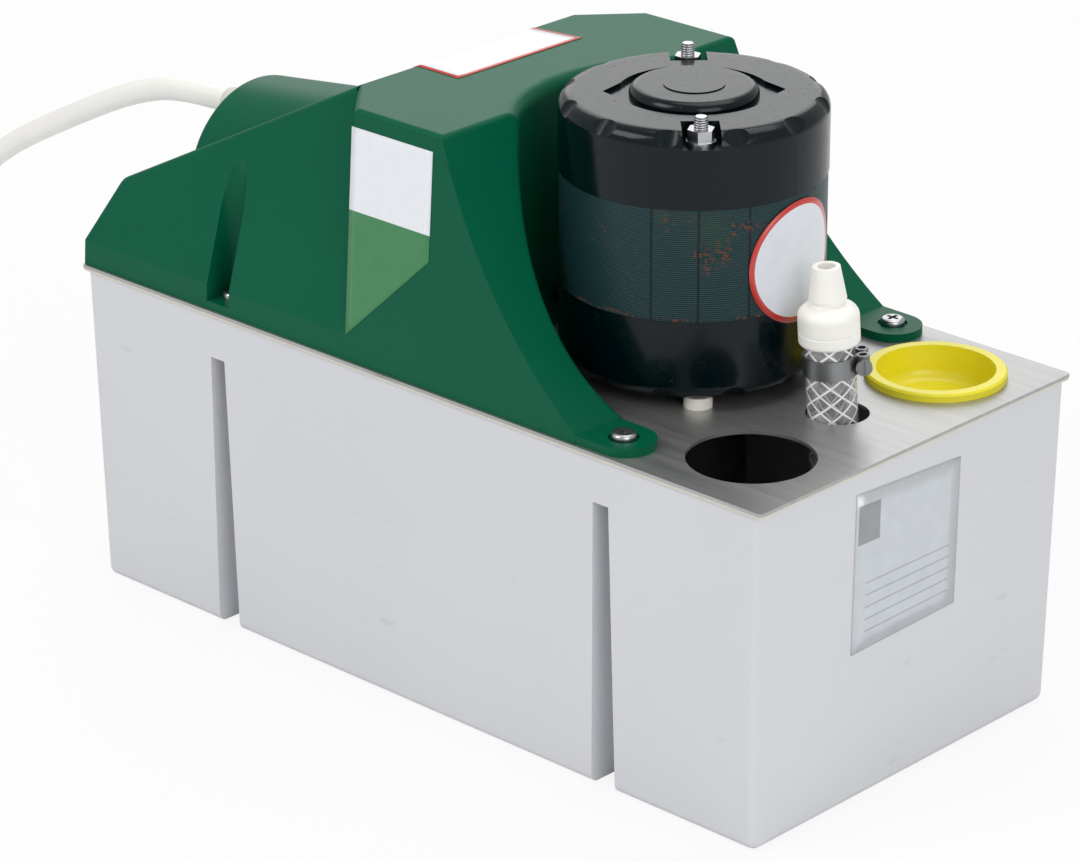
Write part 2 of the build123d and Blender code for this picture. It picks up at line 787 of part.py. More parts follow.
with BuildPart() as rotor_end_rings:
    add(ring(shaft_radius + cap_wall, end_ring_radius, stack_top, stack_top + end_ring_height, motor_x))
    add(ring(shaft_radius + cap_wall, end_ring_radius, stack_bottom - end_ring_height, stack_bottom, motor_x))
rotor_end_rings.part.label = "rotor_end_rings"
export_step(rotor_end_rings.part, "parts/rotor_end_rings.step")

with BuildPart() as motor_shaft:
    with Locations((motor_x, 0, shaft_foot)):
        Cylinder(shaft_radius, upper_bearing_z + bearing_height - 1 - shaft_foot,
                 align=(Align.CENTER, Align.CENTER, Align.MIN))
    chamfer(motor_shaft.edges().filter_by(GeomType.CIRCLE), shaft_radius / 8)
motor_shaft.part.label = "motor_shaft"
export_step(motor_shaft.part, "parts/motor_shaft.step")

for name, low in (("upper_bearing", upper_bearing_z), ("lower_bearing", lower_bearing_z)):
    bearing = ring(shaft_radius + shaft_fit, bearing_radius, low, low + bearing_height, motor_x)
    bearing.label = name
    export_step(bearing, f"parts/{name}.step")

stud_foot = plate_bottom - column_flange - nut_height - nut_flange_height
stud_top = notch_floor + nut_height + stud_proud
with BuildPart() as motor_studs:
    with Locations(*[(x, y, stud_foot) for x, y in stud_spots]):
        Cylinder(stud_radius, stud_top - stud_foot, align=(Align.CENTER, Align.CENTER, Align.MIN))
    chamfer(motor_studs.edges().filter_by(GeomType.CIRCLE), stud_radius / 5)
motor_studs.part.label = "motor_studs"
export_step(motor_studs.part, "parts/motor_studs.step")

with BuildPart() as flange_nut:
    Cylinder(nut_flange_radius, nut_flange_height, align=(Align.CENTER, Align.CENTER, Align.MIN))
    with BuildSketch(Plane.XY.offset(nut_flange_height)):
        RegularPolygon(nut_across_flats / 2, 6, major_radius=False)
    extrude(amount=nut_height - nut_flange_height)
    Cylinder(stud_radius, 4 * nut_height, mode=Mode.SUBTRACT)
with BuildPart() as motor_nuts:
    for x, y in stud_spots:
        add(flange_nut.part.moved(Location((x, y, notch_floor))))
motor_nuts.part.label = "motor_nuts"
export_step(motor_nuts.part, "parts/motor_nuts.step")
with BuildPart() as column_nuts:
    for x, y in stud_spots:
        add(flange_nut.part.moved(Location((x, y, plate_bottom - column_flange), (1, 0, 0), 180)))
column_nuts.part.label = "column_nuts"
export_step(column_nuts.part, "parts/column_nuts.step")

with BuildPart() as motor_spacers:
    for x, y in stud_spots:
        add(ring(stud_radius + stud_gap, spacer_radius, plate_top, motor_base, x, y))
    with Locations(*[(x, y, plate_top) for x, y in foot_spots]):
        Cylinder(spacer_radius, motor_stand, align=(Align.CENTER, Align.CENTER, Align.MIN))
motor_spacers.part.label = "motor_spacers"
export_step(motor_spacers.part, "parts/motor_spacers.step")


# ---- pump under the plate -----------------------------------------------------------------------
with BuildPart() as pump_column:
    with BuildSketch(Plane.XY.offset(plate_bottom - column_flange)):
        with Locations((motor_x, 0)):
            Circle(column_flange_radius)
        with Locations(*stud_spots):
            Circle(column_lug_radius)
        make_hull()
        with Locations(*stud_spots):
            Circle(stud_radius + stud_gap, mode=Mode.SUBTRACT)
    extrude(amount=column_flange)
    with BuildSketch(Plane.XY.offset(column_foot)):
        with Locations((motor_x, 0)):
            Circle(column_radius)
    extrude(amount=plate_bottom - column_foot)
    with BuildSketch(Plane.XY.offset(column_foot)):
        with Locations((motor_x, 0)):
            Circle(column_bore)
    extrude(amount=plate_bottom - column_foot, mode=Mode.SUBTRACT)
pump_column.part.label = "pump_column"
export_step(pump_column.part, "parts/pump_column.step")

elbow_distance = hypot(elbow.X - motor_x, elbow.Y)
arm_heading = atan2(elbow.Y, elbow.X - motor_x) + asin(tangent_radius / elbow_distance)
arm_length = (elbow_distance ** 2 - tangent_radius ** 2) ** 0.5
arm_plane = Plane(origin=elbow, x_dir=(0, 0, 1), z_dir=(-cos(arm_heading), -sin(arm_heading), 0))
riser_plane = Plane(origin=elbow, x_dir=hose_side, z_dir=hose_dir)
riser_length = elbow_drop - hose_depth + barb_length
lug_spots = [(motor_x + lug_circle * cos(2 * pi * k / lug_screws),
              lug_circle * sin(2 * pi * k / lug_screws)) for k in range(lug_screws)]
with BuildPart() as pump_housing:
    with BuildSketch(Plane.XY.offset(pump_floor)):
        with Locations((motor_x, 0)):
            Circle(volute_radius)
        with Locations(*lug_spots):
            Circle(lug_radius)
    extrude(amount=column_foot - pump_floor)
    with BuildSketch(Plane.XY.offset(column_foot)):
        with Locations((motor_x, 0)):
            Circle(column_bore - neck_gap)
    extrude(amount=neck_height)
    with BuildSketch(arm_plane):
        Circle(discharge_radius)
    extrude(amount=arm_length)
    with BuildSketch(riser_plane):
        Circle(discharge_radius)
    extrude(amount=elbow_drop - hose_depth)
    with Locations(elbow):
        Sphere(discharge_radius)
    with BuildSketch(riser_plane):
        Circle(hose_bore - barb_gap)
    extrude(amount=riser_length)
    with BuildSketch(arm_plane):
        Circle(discharge_bore)
    extrude(amount=arm_length, mode=Mode.SUBTRACT)
    with BuildSketch(riser_plane):
        Circle(discharge_bore)
    extrude(amount=riser_length, mode=Mode.SUBTRACT)
    with Locations(elbow):
        Sphere(discharge_bore, mode=Mode.SUBTRACT)
    with BuildSketch(Plane.XY.offset(pump_floor)):
        with Locations((motor_x, 0)):
            Circle(volute_radius - volute_wall)
    extrude(amount=chamber_height, mode=Mode.SUBTRACT)
    with Locations((motor_x, 0, neck_top)):
        CounterBoreHole(shaft_radius + air_gap, bush_radius, bush_height, depth=2 * bush_height)
    with Locations(*[(x, y, pump_floor) for x, y in lug_spots]):
        Cylinder(pump_screw_radius + screw_grip, 2 * (pump_screw_length - pump_cover_thick + 1),
                 mode=Mode.SUBTRACT)
pump_housing.part.label = "pump_housing"
export_step(pump_housing.part, "parts/pump_housing.step")

with BuildPart() as pump_inlet_cover:
    with BuildSketch(Plane.XY.offset(pump_floor - pump_cover_thick)):
        with Locations((motor_x, 0)):
            Circle(volute_radius)
        with Locations(*lug_spots):
            Circle(lug_radius)
        with Locations((motor_x, 0)):
            Circle(eye_radius, mode=Mode.SUBTRACT)
        with Locations(*lug_spots):
            Circle(pump_screw_radius + screw_grip, mode=Mode.SUBTRACT)
    extrude(amount=pump_cover_thick)
    add(ring(strainer_radius - strainer_wall, strainer_radius,
             pump_floor - pump_cover_thick - strainer_height, pump_floor - pump_cover_thick, motor_x))
    with Locations((motor_x, 0, pump_floor - pump_cover_thick - strainer_height)):
        with PolarLocations(strainer_radius - strainer_wall / 2, strainer_windows):
            Box(3 * strainer_wall, strainer_window, 2 * (strainer_height - strainer_wall),
                mode=Mode.SUBTRACT)
pump_inlet_cover.part.label = "pump_inlet_cover"
export_step(pump_inlet_cover.part, "parts/pump_inlet_cover.step")

pump_screw = pan_screw(pump_screw_radius, pump_screw_length, pump_screw_head, pump_screw_head * 0.6,
                       screw_recess_width * 0.7)
with BuildPart() as pump_screws:
    for x, y in lug_spots:
        add(pump_screw.moved(Location((x, y, pump_floor - pump_cover_thick), (1, 0, 0), 180)))
pump_screws.part.label = "pump_screws"
export_step(pump_screws.part, "parts/pump_screws.step")

pump_bush = ring(shaft_radius + shaft_fit, bush_radius, neck_top - bush_height, neck_top, motor_x)
pump_bush.label = "pump_bush"
export_step(pump_bush, "parts/pump_bush.step")

shaft_slinger = ring(shaft_radius, seal_radius, neck_top + seal_thick, neck_top + 2 * seal_thick, motor_x)
shaft_slinger.label = "shaft_slinger"
export_step(shaft_slinger, "parts/shaft_slinger.step")

with BuildPart() as vane:
    with BuildSketch(Plane.XY.offset(impeller_z - vane_height)):
        with BuildLine():
            ThreePointArc((impeller_hub_radius - 0.5, 0), (impeller_radius * 0.62, -impeller_radius * 0.12),
                          (impeller_radius * 0.86, -impeller_radius * 0.46))
        trace(line_width=vane_thick)
    extrude(amount=vane_height)
with BuildPart() as impeller:
    with Locations((0, 0, impeller_z)):
        Cylinder(impeller_radius, impeller_disc, align=(Align.CENTER, Align.CENTER, Align.MIN))
    with Locations((0, 0, impeller_z - vane_height)):
        Cylinder(impeller_hub_radius, vane_height, align=(Align.CENTER, Align.CENTER, Align.MIN))
    for k in range(vane_count):
        add(vane.part.rotate(Axis.Z, 360 * k / vane_count))
    Cylinder(shaft_radius, 8 * impeller_z, mode=Mode.SUBTRACT)
impeller_placed = impeller.part.moved(Location((motor_x, 0, 0)))
impeller_placed.label = "impeller"
export_step(impeller_placed, "parts/impeller.step")

with BuildPart() as impeller_nut:
    with BuildSketch(Plane.XY.offset(shaft_foot)):
        with Locations((motor_x, 0)):
            RegularPolygon(impeller_nut_radius + 1.5, 6)
            Circle(shaft_radius, mode=Mode.SUBTRACT)
    extrude(amount=impeller_nut_height)
impeller_nut.part.label = "impeller_nut"
export_step(impeller_nut.part, "parts/impeller_nut.step")


# ---- riser hose, clips and check valve ----------------------------------------------------------
def along_hose(profile, rounded=()):
    """A solid turned about the hose's own leaning axis; profile is (radius, height) pairs, and
    rounded holds (corner, fillet radius) pairs."""
    with BuildPart() as turned:
        with BuildSketch(Plane.XZ) as outline:
            with BuildLine():
                Polyline(*profile, close=True)
            make_face()
            for corner, round_radius in rounded:
                fillet(outline.vertices().sort_by_distance(corner)[0], round_radius)
        revolve(axis=Axis.Z)
    return turned.part.moved(hose_plane.location)


riser_hose = along_hose([(hose_bore, -hose_depth), (hose_radius, -hose_depth),
                         (hose_radius, hose_top), (hose_bore, hose_top)])
riser_hose.label = "riser_hose"
export_step(riser_hose, "parts/riser_hose.step")

clip_inner = hose_radius + clip_gap
clip_outer = clip_inner + clip_thick
with BuildPart() as clip_band:
    with BuildSketch():
        Circle(clip_outer)
        with Locations((clip_outer / 2 + clip_ear_radius, 0)):
            Rectangle(clip_outer, 2 * clip_ear_spread + 2 * clip_thick)
        Circle(clip_inner, mode=Mode.SUBTRACT)
        with Locations((clip_outer / 2 + clip_ear_radius, 0)):
            Rectangle(clip_outer + 2, 2 * clip_ear_spread - 2 * clip_thick, mode=Mode.SUBTRACT)
        with Locations((clip_ear_reach + clip_ear_radius, 0)):
            Rectangle(2 * clip_ear_radius, 4 * clip_ear_spread, mode=Mode.SUBTRACT)
        for side in sides:
            with Locations((clip_ear_reach, side * clip_ear_spread)):
                Circle(clip_ear_radius)
                Circle(clip_ear_radius - clip_thick, mode=Mode.SUBTRACT)
    extrude(amount=clip_width)
    with BuildSketch(Plane.XZ):
        with Locations((clip_ear_reach, clip_width / 2)):
            Circle(clip_screw_radius + screw_grip)
    extrude(amount=clip_outer, both=True, mode=Mode.SUBTRACT)
with BuildPart() as clip_screw:
    clip_screw_end = clip_ear_spread + clip_ear_radius
    with BuildSketch(Plane.XZ.offset(-clip_screw_end - clip_thick)):
        with Locations((clip_ear_reach, clip_width / 2)):
            Circle(clip_screw_radius)
    extrude(amount=2 * clip_screw_end + 2 * clip_thick)
    with BuildSketch(Plane.XZ.offset(clip_screw_end)):
        with Locations((clip_ear_reach, clip_width / 2)):
            Circle(clip_head_radius)
    extrude(amount=clip_head_height)
    with BuildSketch(Plane.XZ.offset(clip_screw_end + clip_head_height)):
        with Locations((clip_ear_reach, clip_width / 2)):
            Rectangle(clip_thick, 2 * clip_head_radius)
    extrude(amount=-clip_head_height / 2, mode=Mode.SUBTRACT)
for name, piece in (("hose_clip_bands", clip_band), ("hose_clip_screws", clip_screw)):
    with BuildPart() as pair:
        for low in (clip_low, lower_clip_low):
            add(piece.part.moved(Location((0, 0, low))))
    placed = pair.part.moved(hose_plane.location)
    placed.label = name
    export_step(placed, f"parts/{name}.step")

spigot_foot = hose_top - barb_length
valve_body = along_hose([(valve_bore, spigot_foot), (hose_bore - barb_gap, spigot_foot),
                         (hose_bore - barb_gap, hose_top), (valve_radius, hose_top),
                         (valve_radius, valve_seam - valve_edge), (valve_radius - valve_edge, valve_seam),
                         (valve_joint_radius, valve_seam), (valve_joint_radius, valve_joint),
                         (valve_chamber_radius, valve_joint),
                         (valve_chamber_radius, valve_chamber_floor), (valve_bore, valve_chamber_floor)],
                        [((valve_radius, hose_top), valve_foot_round)])
valve_body.label = "valve_body"
export_step(valve_body, "parts/valve_body.step")

seat_height = valve_chamber_floor + seat_ring_thick
ball_rest = seat_height + ((ball_radius + seat_ring_thick) ** 2 - seat_ring_radius ** 2) ** 0.5 + ball_gap
chamber_roof = ball_rest + ball_radius + ball_travel + ball_gap
barb_foot = valve_shoulder_top + valve_shoulder_lift
valve_cap = along_hose([(valve_bore, chamber_roof), (valve_chamber_radius, chamber_roof),
                        (valve_chamber_radius, valve_joint), (valve_joint_radius, valve_joint),
                        (valve_joint_radius, valve_seam), (valve_radius - valve_edge, valve_seam),
                        (valve_radius, valve_seam + valve_edge), (valve_radius, valve_shoulder_top),
                        (valve_neck, barb_foot), (valve_neck - barb_neck, barb_foot + barb_neck),
                        (valve_barb_crest, barb_foot + valve_barb_rise),
                        (valve_barb_top, barb_foot + valve_barb_height),
                        (valve_bore, barb_foot + valve_barb_height)],
                       [((valve_radius, valve_shoulder_top), valve_shoulder_round)])
valve_cap.label = "valve_cap"
export_step(valve_cap, "parts/valve_cap.step")

with BuildPart() as seat_ring:
    with BuildSketch(Plane.XZ):
        with Locations((seat_ring_radius, seat_height)):
            Circle(seat_ring_thick)
    revolve(axis=Axis.Z)
valve_seat = seat_ring.part.moved(hose_plane.location)
valve_seat.label = "valve_seat"
export_step(valve_seat, "parts/valve_seat.step")

with BuildPart() as ball:
    with Locations((0, 0, ball_rest)):
        Sphere(ball_radius)
valve_ball = ball.part.moved(hose_plane.location)
valve_ball.label = "valve_ball"
export_step(valve_ball, "parts/valve_ball.step")

with BuildPart() as inlet_plug:
    with BuildSketch(Plane.XZ) as plug_outline:
        with BuildLine():
            skirt = inlet_radius - plug_gap
            Polyline((0, -plug_cup_depth), (0, -plug_depth), (skirt - plug_taper, -plug_depth), (skirt, 0),
                     (plug_flange_radius, 0), (plug_flange_radius, plug_flange_thick - 0.6),
                     (plug_flange_radius - 0.6, plug_flange_thick), (plug_cup_top, plug_flange_thick),
                     (plug_cup_foot, -plug_cup_depth), close=True)
        make_face()
        fillet(plug_outline.vertices().sort_by_distance((plug_cup_foot, -plug_cup_depth))[0], plug_cup_round)
    revolve(axis=Axis.Z)
plug_placed = inlet_plug.part.moved(Location((inlet_x, inlet_y, plate_top)))
plug_placed.label = "inlet_plug"
export_step(plug_placed, "parts/inlet_plug.step")


# ---- float, rod and lever -----------------------------------------------------------------------
def on_rod(radius, low, height, bore):
    """A collar about the float's rod."""
    return ring(bore, radius, low, low + height, float_x)


float_body = on_rod(float_radius, float_low, float_height, rod_radius)
with BuildPart() as float_solid:
    add(float_body)
    fillet(float_solid.edges().filter_by(lambda edge: edge.radius > rod_radius + 1
                                         if edge.geom_type == GeomType.CIRCLE else False), float_round)
float_solid.part.label = "float_body"
export_step(float_solid.part, "parts/float_body.step")

with BuildPart() as float_rod:
    rod_foot = float_low - float_clip_thick - rod_proud
    with Locations((float_x, 0, rod_foot)):
        Cylinder(rod_radius, rod_top - rod_foot, align=(Align.CENTER, Align.CENTER, Align.MIN))
    chamfer(float_rod.edges().filter_by(GeomType.CIRCLE), rod_radius / 5)
float_rod.part.label = "float_rod"
export_step(float_rod.part, "parts/float_rod.step")

with BuildPart() as float_clips:
    add(on_rod(float_clip_radius, float_low - float_clip_thick, float_clip_thick, rod_radius))
    add(on_rod(float_clip_radius, float_low + float_height, float_clip_thick, rod_radius))
float_clips.part.label = "float_clips"
export_step(float_clips.part, "parts/float_clips.step")

with BuildPart() as rod_collars:
    add(on_rod(collar_radius, fork_z + collar_gap / 2, collar_height, rod_radius))
    add(on_rod(collar_radius, fork_z - collar_gap / 2 - collar_height, collar_height, rod_radius))
rod_collars.part.label = "rod_collars"
export_step(rod_collars.part, "parts/rod_collars.step")

with BuildPart() as rod_bush:
    add(on_rod(rod_bush_radius, plate_bottom - rod_bush_thick, plate_thick + rod_bush_thick,
               rod_radius + rod_fit))
    add(on_rod(rod_bush_flange, plate_top, rod_bush_thick, rod_radius + rod_fit))
rod_bush.part.label = "rod_bush"
export_step(rod_bush.part, "parts/rod_bush.step")

lever_plane = Plane(origin=(pivot_x, 0, pivot_z), x_dir=(cos(lever_angle), 0, -sin(lever_angle)),
                    z_dir=(sin(lever_angle), 0, cos(lever_angle)))
lever_end = lever_reach / cos(lever_angle) + lever_tip
fork_start = lever_end - 2 * lever_tip - rod_radius
with BuildPart() as lever:
    with Locations((lever_end / 2, 0, 0)):
        Box(lever_end, lever_width, lever_thick)
    with BuildSketch(Plane.XZ.offset(-bracket_half_width + 2 * bracket_thick)):
        Circle(lever_hub_radius)
    extrude(amount=2 * (bracket_half_width - 2 * bracket_thick))
    for side in sides:
        with BuildSketch(Plane.XZ.offset(side * cam_y - cam_width / 2)):
            with Locations((0, cam_offset)):
                Circle(cam_radius)
        extrude(amount=cam_width)
    fork_gap = rod_radius + lever_slot_gap
    with BuildSketch():
        with Locations(((fork_start + 2 * lever_end) / 2, 0)):
            Rectangle(2 * lever_end - fork_start, 2 * fork_gap)
        with Locations((fork_start, 0)):
            Circle(fork_gap)
    extrude(amount=lever_width, both=True, mode=Mode.SUBTRACT)
    with BuildSketch(Plane.XZ):
        Circle(pin_radius + shaft_fit)
    extrude(amount=plate_width, both=True, mode=Mode.SUBTRACT)
float_lever = lever.part.moved(lever_plane.location)
float_lever.label = "float_lever"
export_step(float_lever, "parts/float_lever.step")

with BuildPart() as lever_pin:
    with BuildSketch(Plane.XZ.offset(-bracket_half_width - pin_head_height)):
        with Locations((pivot_x, pivot_z)):
            Circle(pin_radius)
    extrude(amount=2 * bracket_half_width + 2 * pin_head_height)
    for side in sides:
        with BuildSketch(Plane.XZ.offset(side * (bracket_half_width + pin_head_height / 2)
                                         - pin_head_height / 2)):
            with Locations((pivot_x, pivot_z)):
                Circle(pin_head_radius)
        extrude(amount=pin_head_height)
lever_pin.part.label = "lever_pin"
export_step(lever_pin.part, "parts/lever_pin.step")


# ---- switches and their bracket -----------------------------------------------------------------
switch_x = switch_face_x - switch_reach / 2
switch_holes = [(switch_x, pivot_z + end * switch_hole_spread / 2) for end in sides]
for name, side in (("run_microswitch", -1), ("alarm_microswitch", 1)):
    with BuildPart() as switch_case:
        with Locations((switch_x, side * cam_y, pivot_z)):
            Box(switch_reach, switch_width, switch_length)
        with BuildSketch(Plane.XZ.offset(-side * cam_y - switch_width)):
            with Locations(*switch_holes):
                Circle(switch_hole_radius)
        extrude(amount=2 * switch_width, mode=Mode.SUBTRACT)
        with BuildSketch(Plane.YZ.offset(switch_face_x - plunger_root)):
            with Locations((side * cam_y, pivot_z)):
                Circle(plunger_radius + plunger_fit)
        extrude(amount=2 * plunger_root, mode=Mode.SUBTRACT)
        with Locations(*[(switch_face_x - switch_reach - terminal_tag / 2 + 0.5, side * cam_y,
                          pivot_z + step * switch_length / 3) for step in (-1, 0, 1)]):
            Box(terminal_tag + 1, switch_width / 2, 0.5)
    switch_case.part.label = name
    export_step(switch_case.part, f"parts/{name}.step")
for name, side in (("run_plunger", -1), ("alarm_plunger", 1)):
    with BuildPart() as plunger:
        with BuildSketch(Plane.YZ.offset(switch_face_x - plunger_root + 2 * cam_rise)):
            with Locations((side * cam_y, pivot_z)):
                Circle(plunger_radius)
        extrude(amount=plunger_root - 2 * cam_rise + plunger_reach)
        fillet(plunger.faces().sort_by(Axis.X)[-1].edges(), plunger_radius / 2)
    plunger.part.label = name
    export_step(plunger.part, f"parts/{name}.step")

bracket_length = pivot_x + bracket_front - bracket_rear_x
bracket_mid_x = bracket_rear_x + bracket_length / 2
with BuildPart() as switch_bracket:
    with Locations((bracket_mid_x, 0, plate_top + bracket_thick / 2)):
        Box(bracket_length, 2 * bracket_half_width, bracket_thick)
    for side in sides:
        with BuildSketch(Plane.XZ.offset(side * (bracket_half_width - bracket_thick / 2)
                                         - bracket_thick / 2)):
            with BuildLine():
                cheek_top = pivot_z + bracket_top
                Polyline((bracket_rear_x, plate_top), (bracket_rear_x, cheek_top),
                         (pivot_x, cheek_top), (pivot_x + bracket_front, pivot_z),
                         (pivot_x + bracket_front, plate_top), close=True)
            make_face()
            with Locations((pivot_x, pivot_z)):
                Circle(pin_radius + screw_grip, mode=Mode.SUBTRACT)
            with Locations(*switch_holes):
                Circle(switch_hole_radius, mode=Mode.SUBTRACT)
        extrude(amount=bracket_thick)
    with Locations(*[(x, y, plate_top + bracket_thick) for x, y in bracket_screws]):
        Hole(plate_screw_radius + screw_grip, depth=2 * bracket_thick)
switch_bracket.part.label = "switch_bracket"
export_step(switch_bracket.part, "parts/switch_bracket.step")

with BuildPart() as switch_screws:
    with BuildSketch(Plane.XZ.offset(-bracket_half_width - pin_head_height)):
        with Locations(*switch_holes):
            Circle(switch_screw_radius)
    extrude(amount=2 * bracket_half_width + 2 * pin_head_height)
    for side in sides:
        with BuildSketch(Plane.XZ.offset(side * (bracket_half_width + pin_head_height / 2)
                                         - pin_head_height / 2)):
            with Locations(*switch_holes):
                Circle(2 * switch_screw_radius)
        extrude(amount=pin_head_height)
switch_screws.part.label = "switch_screws"
export_step(switch_screws.part, "parts/switch_screws.step")


# ---- wiring on the plate ------------------------------------------------------------------------
block_top = plate_top + block_height
way_pitch = (block_length - 2 * 6) / block_ways
way_spots = [(block_x, block_y + (k - (block_ways - 1) / 2) * way_pitch) for k in range(block_ways)]
with BuildPart() as terminal_block:
    with Locations((block_x, block_y, plate_top + block_step / 2)):
        Box(block_width, block_length, block_step)
    with Locations((block_x, block_y, plate_top + block_height / 2)):
        Box(block_width, block_length - 12, block_height)
    with Locations(*[(x, y + way_pitch / 2, block_top) for x, y in way_spots[:-1]]):
        Box(2 * block_width, way_pitch / 5, block_height / 3, mode=Mode.SUBTRACT)
    with Locations(*[(x + end * block_width / 4, y, block_top) for x, y in way_spots for end in sides]):
        Hole(block_screw_radius + screw_grip, depth=block_height / 2)
    with Locations(*[(x, y, plate_top + block_step) for x, y in block_screws]):
        Hole(plate_screw_radius + screw_grip, depth=2 * block_step)
terminal_block.part.label = "terminal_block"
export_step(terminal_block.part, "parts/terminal_block.step")

with BuildPart() as terminal_screws:
    with Locations(*[(x + end * block_width / 4, y, block_top - 1) for x, y in way_spots for end in sides]):
        Cylinder(block_screw_radius, block_height / 3, align=(Align.CENTER, Align.CENTER, Align.MAX))
        with Locations((0, 0, 0)):
            Box(3 * block_screw_radius, 0.6, 1, mode=Mode.SUBTRACT)
terminal_screws.part.label = "terminal_screws"
export_step(terminal_screws.part, "parts/terminal_screws.step")

plate_screw_seats = ([(x, y, plate_top + bracket_thick) for x, y in bracket_screws]
                     + [(x, y, plate_top + block_step) for x, y in block_screws]
                     + [(x, y, plate_top + clamp_thick) for x, y in clamp_screws])
with BuildPart() as plate_screws:
    for x, y, z in plate_screw_seats:
        length = z - plate_bottom + plate_screw_length
        add(pan_screw(plate_screw_radius, length, plate_screw_head, plate_screw_head * 0.6,
                      screw_recess_width * 0.7).moved(Location((x, y, z))))
plate_screws.part.label = "plate_screws"
export_step(plate_screws.part, "parts/plate_screws.step")

with BuildPart() as earth_screw:
    with Locations((earth_x, earth_y, plate_top)):
        Cylinder(earth_washer_radius, 1, align=(Align.CENTER, Align.CENTER, Align.MIN))
    with Locations((earth_x, earth_y, plate_bottom - plate_screw_length)):
        Cylinder(plate_screw_radius, plate_screw_length + plate_thick + 4,
                 align=(Align.CENTER, Align.CENTER, Align.MIN))
    with BuildSketch(Plane.XY.offset(plate_top + 1)):
        with Locations((earth_x, earth_y)):
            RegularPolygon(plate_screw_head, 6, major_radius=False)
    extrude(amount=plate_screw_head)
earth_screw.part.label = "earth_screw"
export_step(earth_screw.part, "parts/earth_screw.step")

scoop_wall_x = motor_x - scoop_radius - cover_wall
lead_start = motor_x - motor_radius + 2 * cap_wall
lead_end = block_x + block_width / 2
with BuildPart() as motor_lead:
    with BuildSketch(Plane.YZ.offset(lead_end)):
        with Locations((0, lead_z)):
            Circle(lead_radius)
    extrude(amount=lead_start - lead_end)
motor_lead.part.label = "motor_lead"
export_step(motor_lead.part, "parts/motor_lead.step")


def wall_grommet(wall_low, wall_high, height, neck, flange, bore):
    """A grommet about a cable that crosses a wall of the cover along X."""
    with BuildPart() as grommet:
        with BuildSketch(Plane.YZ.offset(wall_low - grommet_flange)):
            with Locations((0, height)):
                Circle(neck)
        extrude(amount=wall_high - wall_low + 2 * grommet_flange)
        for start in (wall_low - grommet_flange, wall_high):
            with BuildSketch(Plane.YZ.offset(start)):
                with Locations((0, height)):
                    Circle(flange)
            extrude(amount=grommet_flange)
        with BuildSketch(Plane.YZ.offset(wall_low - grommet_flange)):
            with Locations((0, height)):
                Circle(bore)
        extrude(amount=wall_high - wall_low + 2 * grommet_flange, mode=Mode.SUBTRACT)
    return grommet.part


lead_grommet = wall_grommet(scoop_wall_x, scoop_wall_x + cover_wall + grommet_gap, lead_z,
                            grommet_radius, grommet_radius + grommet_lip, lead_radius + screw_grip)
lead_grommet.label = "lead_grommet"
export_step(lead_grommet, "parts/lead_grommet.step")

with BuildPart() as cable_gland:
    add(wall_grommet(boss_face_x, boss_face_x + cover_wall, gland_z, gland_radius, gland_flange_radius,
                     cable_radius + screw_grip))
    with BuildSketch(Plane.YZ.offset(boss_face_x - gland_flange_thick)):
        with Locations((0, gland_z)):
            Circle(gland_flange_radius - 1)
    extrude(amount=-(gland_length - gland_flange_thick),
            taper=degrees(atan2(gland_flange_radius - 1 - gland_tip_radius,
                                gland_length - gland_flange_thick)))
    with BuildSketch(Plane.YZ.offset(gland_end_x)):
        with Locations((0, gland_z)):
            Circle(cable_radius + screw_grip)
    extrude(amount=gland_length + cover_wall, mode=Mode.SUBTRACT)
cable_gland.part.label = "cable_gland"
export_step(cable_gland.part, "parts/cable_gland.step")


# ---- supply cable -------------------------------------------------------------------------------
def bend_radii(points):
    """For each corner of a route, 0.45 of its shorter run over the tangent of half the turn."""
    radii = []
    for before, corner, after in zip(points, points[1:], points[2:]):
        arriving, leaving = corner - before, after - corner
        half_turn = radians(arriving.get_angle(leaving)) / 2
        radii.append(0.45 * min(arriving.length, leaving.length) / tan(half_turn))
    return radii


def cable_tube(route, radius):
    """A round cable along straight runs joined by tangent arcs."""
    points = [Vector(*point) for point in route]
    radii = bend_radii(points)
    with BuildPart() as tube:
        with BuildLine() as path:
            FilletPolyline(*points, radius=radii)
        with BuildSketch(Plane(origin=points[0], z_dir=points[1] - points[0])):
            Circle(radius)
        sweep(path=path.wires()[0])
    section_volume = pi * radius ** 2 * path.wires()[0].length
    print("radii", [round(r, 1) for r in radii], "length", round(path.wires()[0].length, 1),
          "volume over section times length", round(tube.part.volume / section_volume, 4))
    return tube.part


inner_lead = cable_tube([cable_start, *inner_route, (inner_route[-1][0] + 18, inner_y, cable_floor),
                         (block_x - block_width / 2, inner_y, cable_floor)], cable_radius)
inner_lead.label = "inner_lead"
export_step(inner_lead, "parts/inner_lead.step")

with BuildPart() as cable_clamp:
    with BuildSketch(Plane.YZ.offset(clamp_x - clamp_width / 2)):
        with Locations((inner_y, cable_floor)):
            Circle(cable_radius + neck_gap + clamp_thick)
        with Locations((inner_y, plate_top + clamp_thick / 2)):
            Rectangle(2 * (cable_radius + clamp_ear), clamp_thick)
        with Locations((inner_y, cable_floor)):
            Circle(cable_radius + neck_gap, mode=Mode.SUBTRACT)
        with Locations((inner_y, plate_top)):
            Rectangle(2 * cable_radius, 2 * cable_radius, mode=Mode.SUBTRACT)
        with Locations((inner_y, plate_top - plate_width / 2)):
            Rectangle(plate_width, plate_width, mode=Mode.SUBTRACT)
    extrude(amount=clamp_width)
    with Locations(*[(x, y, plate_top + clamp_thick) for x, y in clamp_screws]):
        Hole(plate_screw_radius + screw_grip, depth=2 * clamp_thick)
cable_clamp.part.label = "cable_clamp"
export_step(cable_clamp.part, "parts/cable_clamp.step")

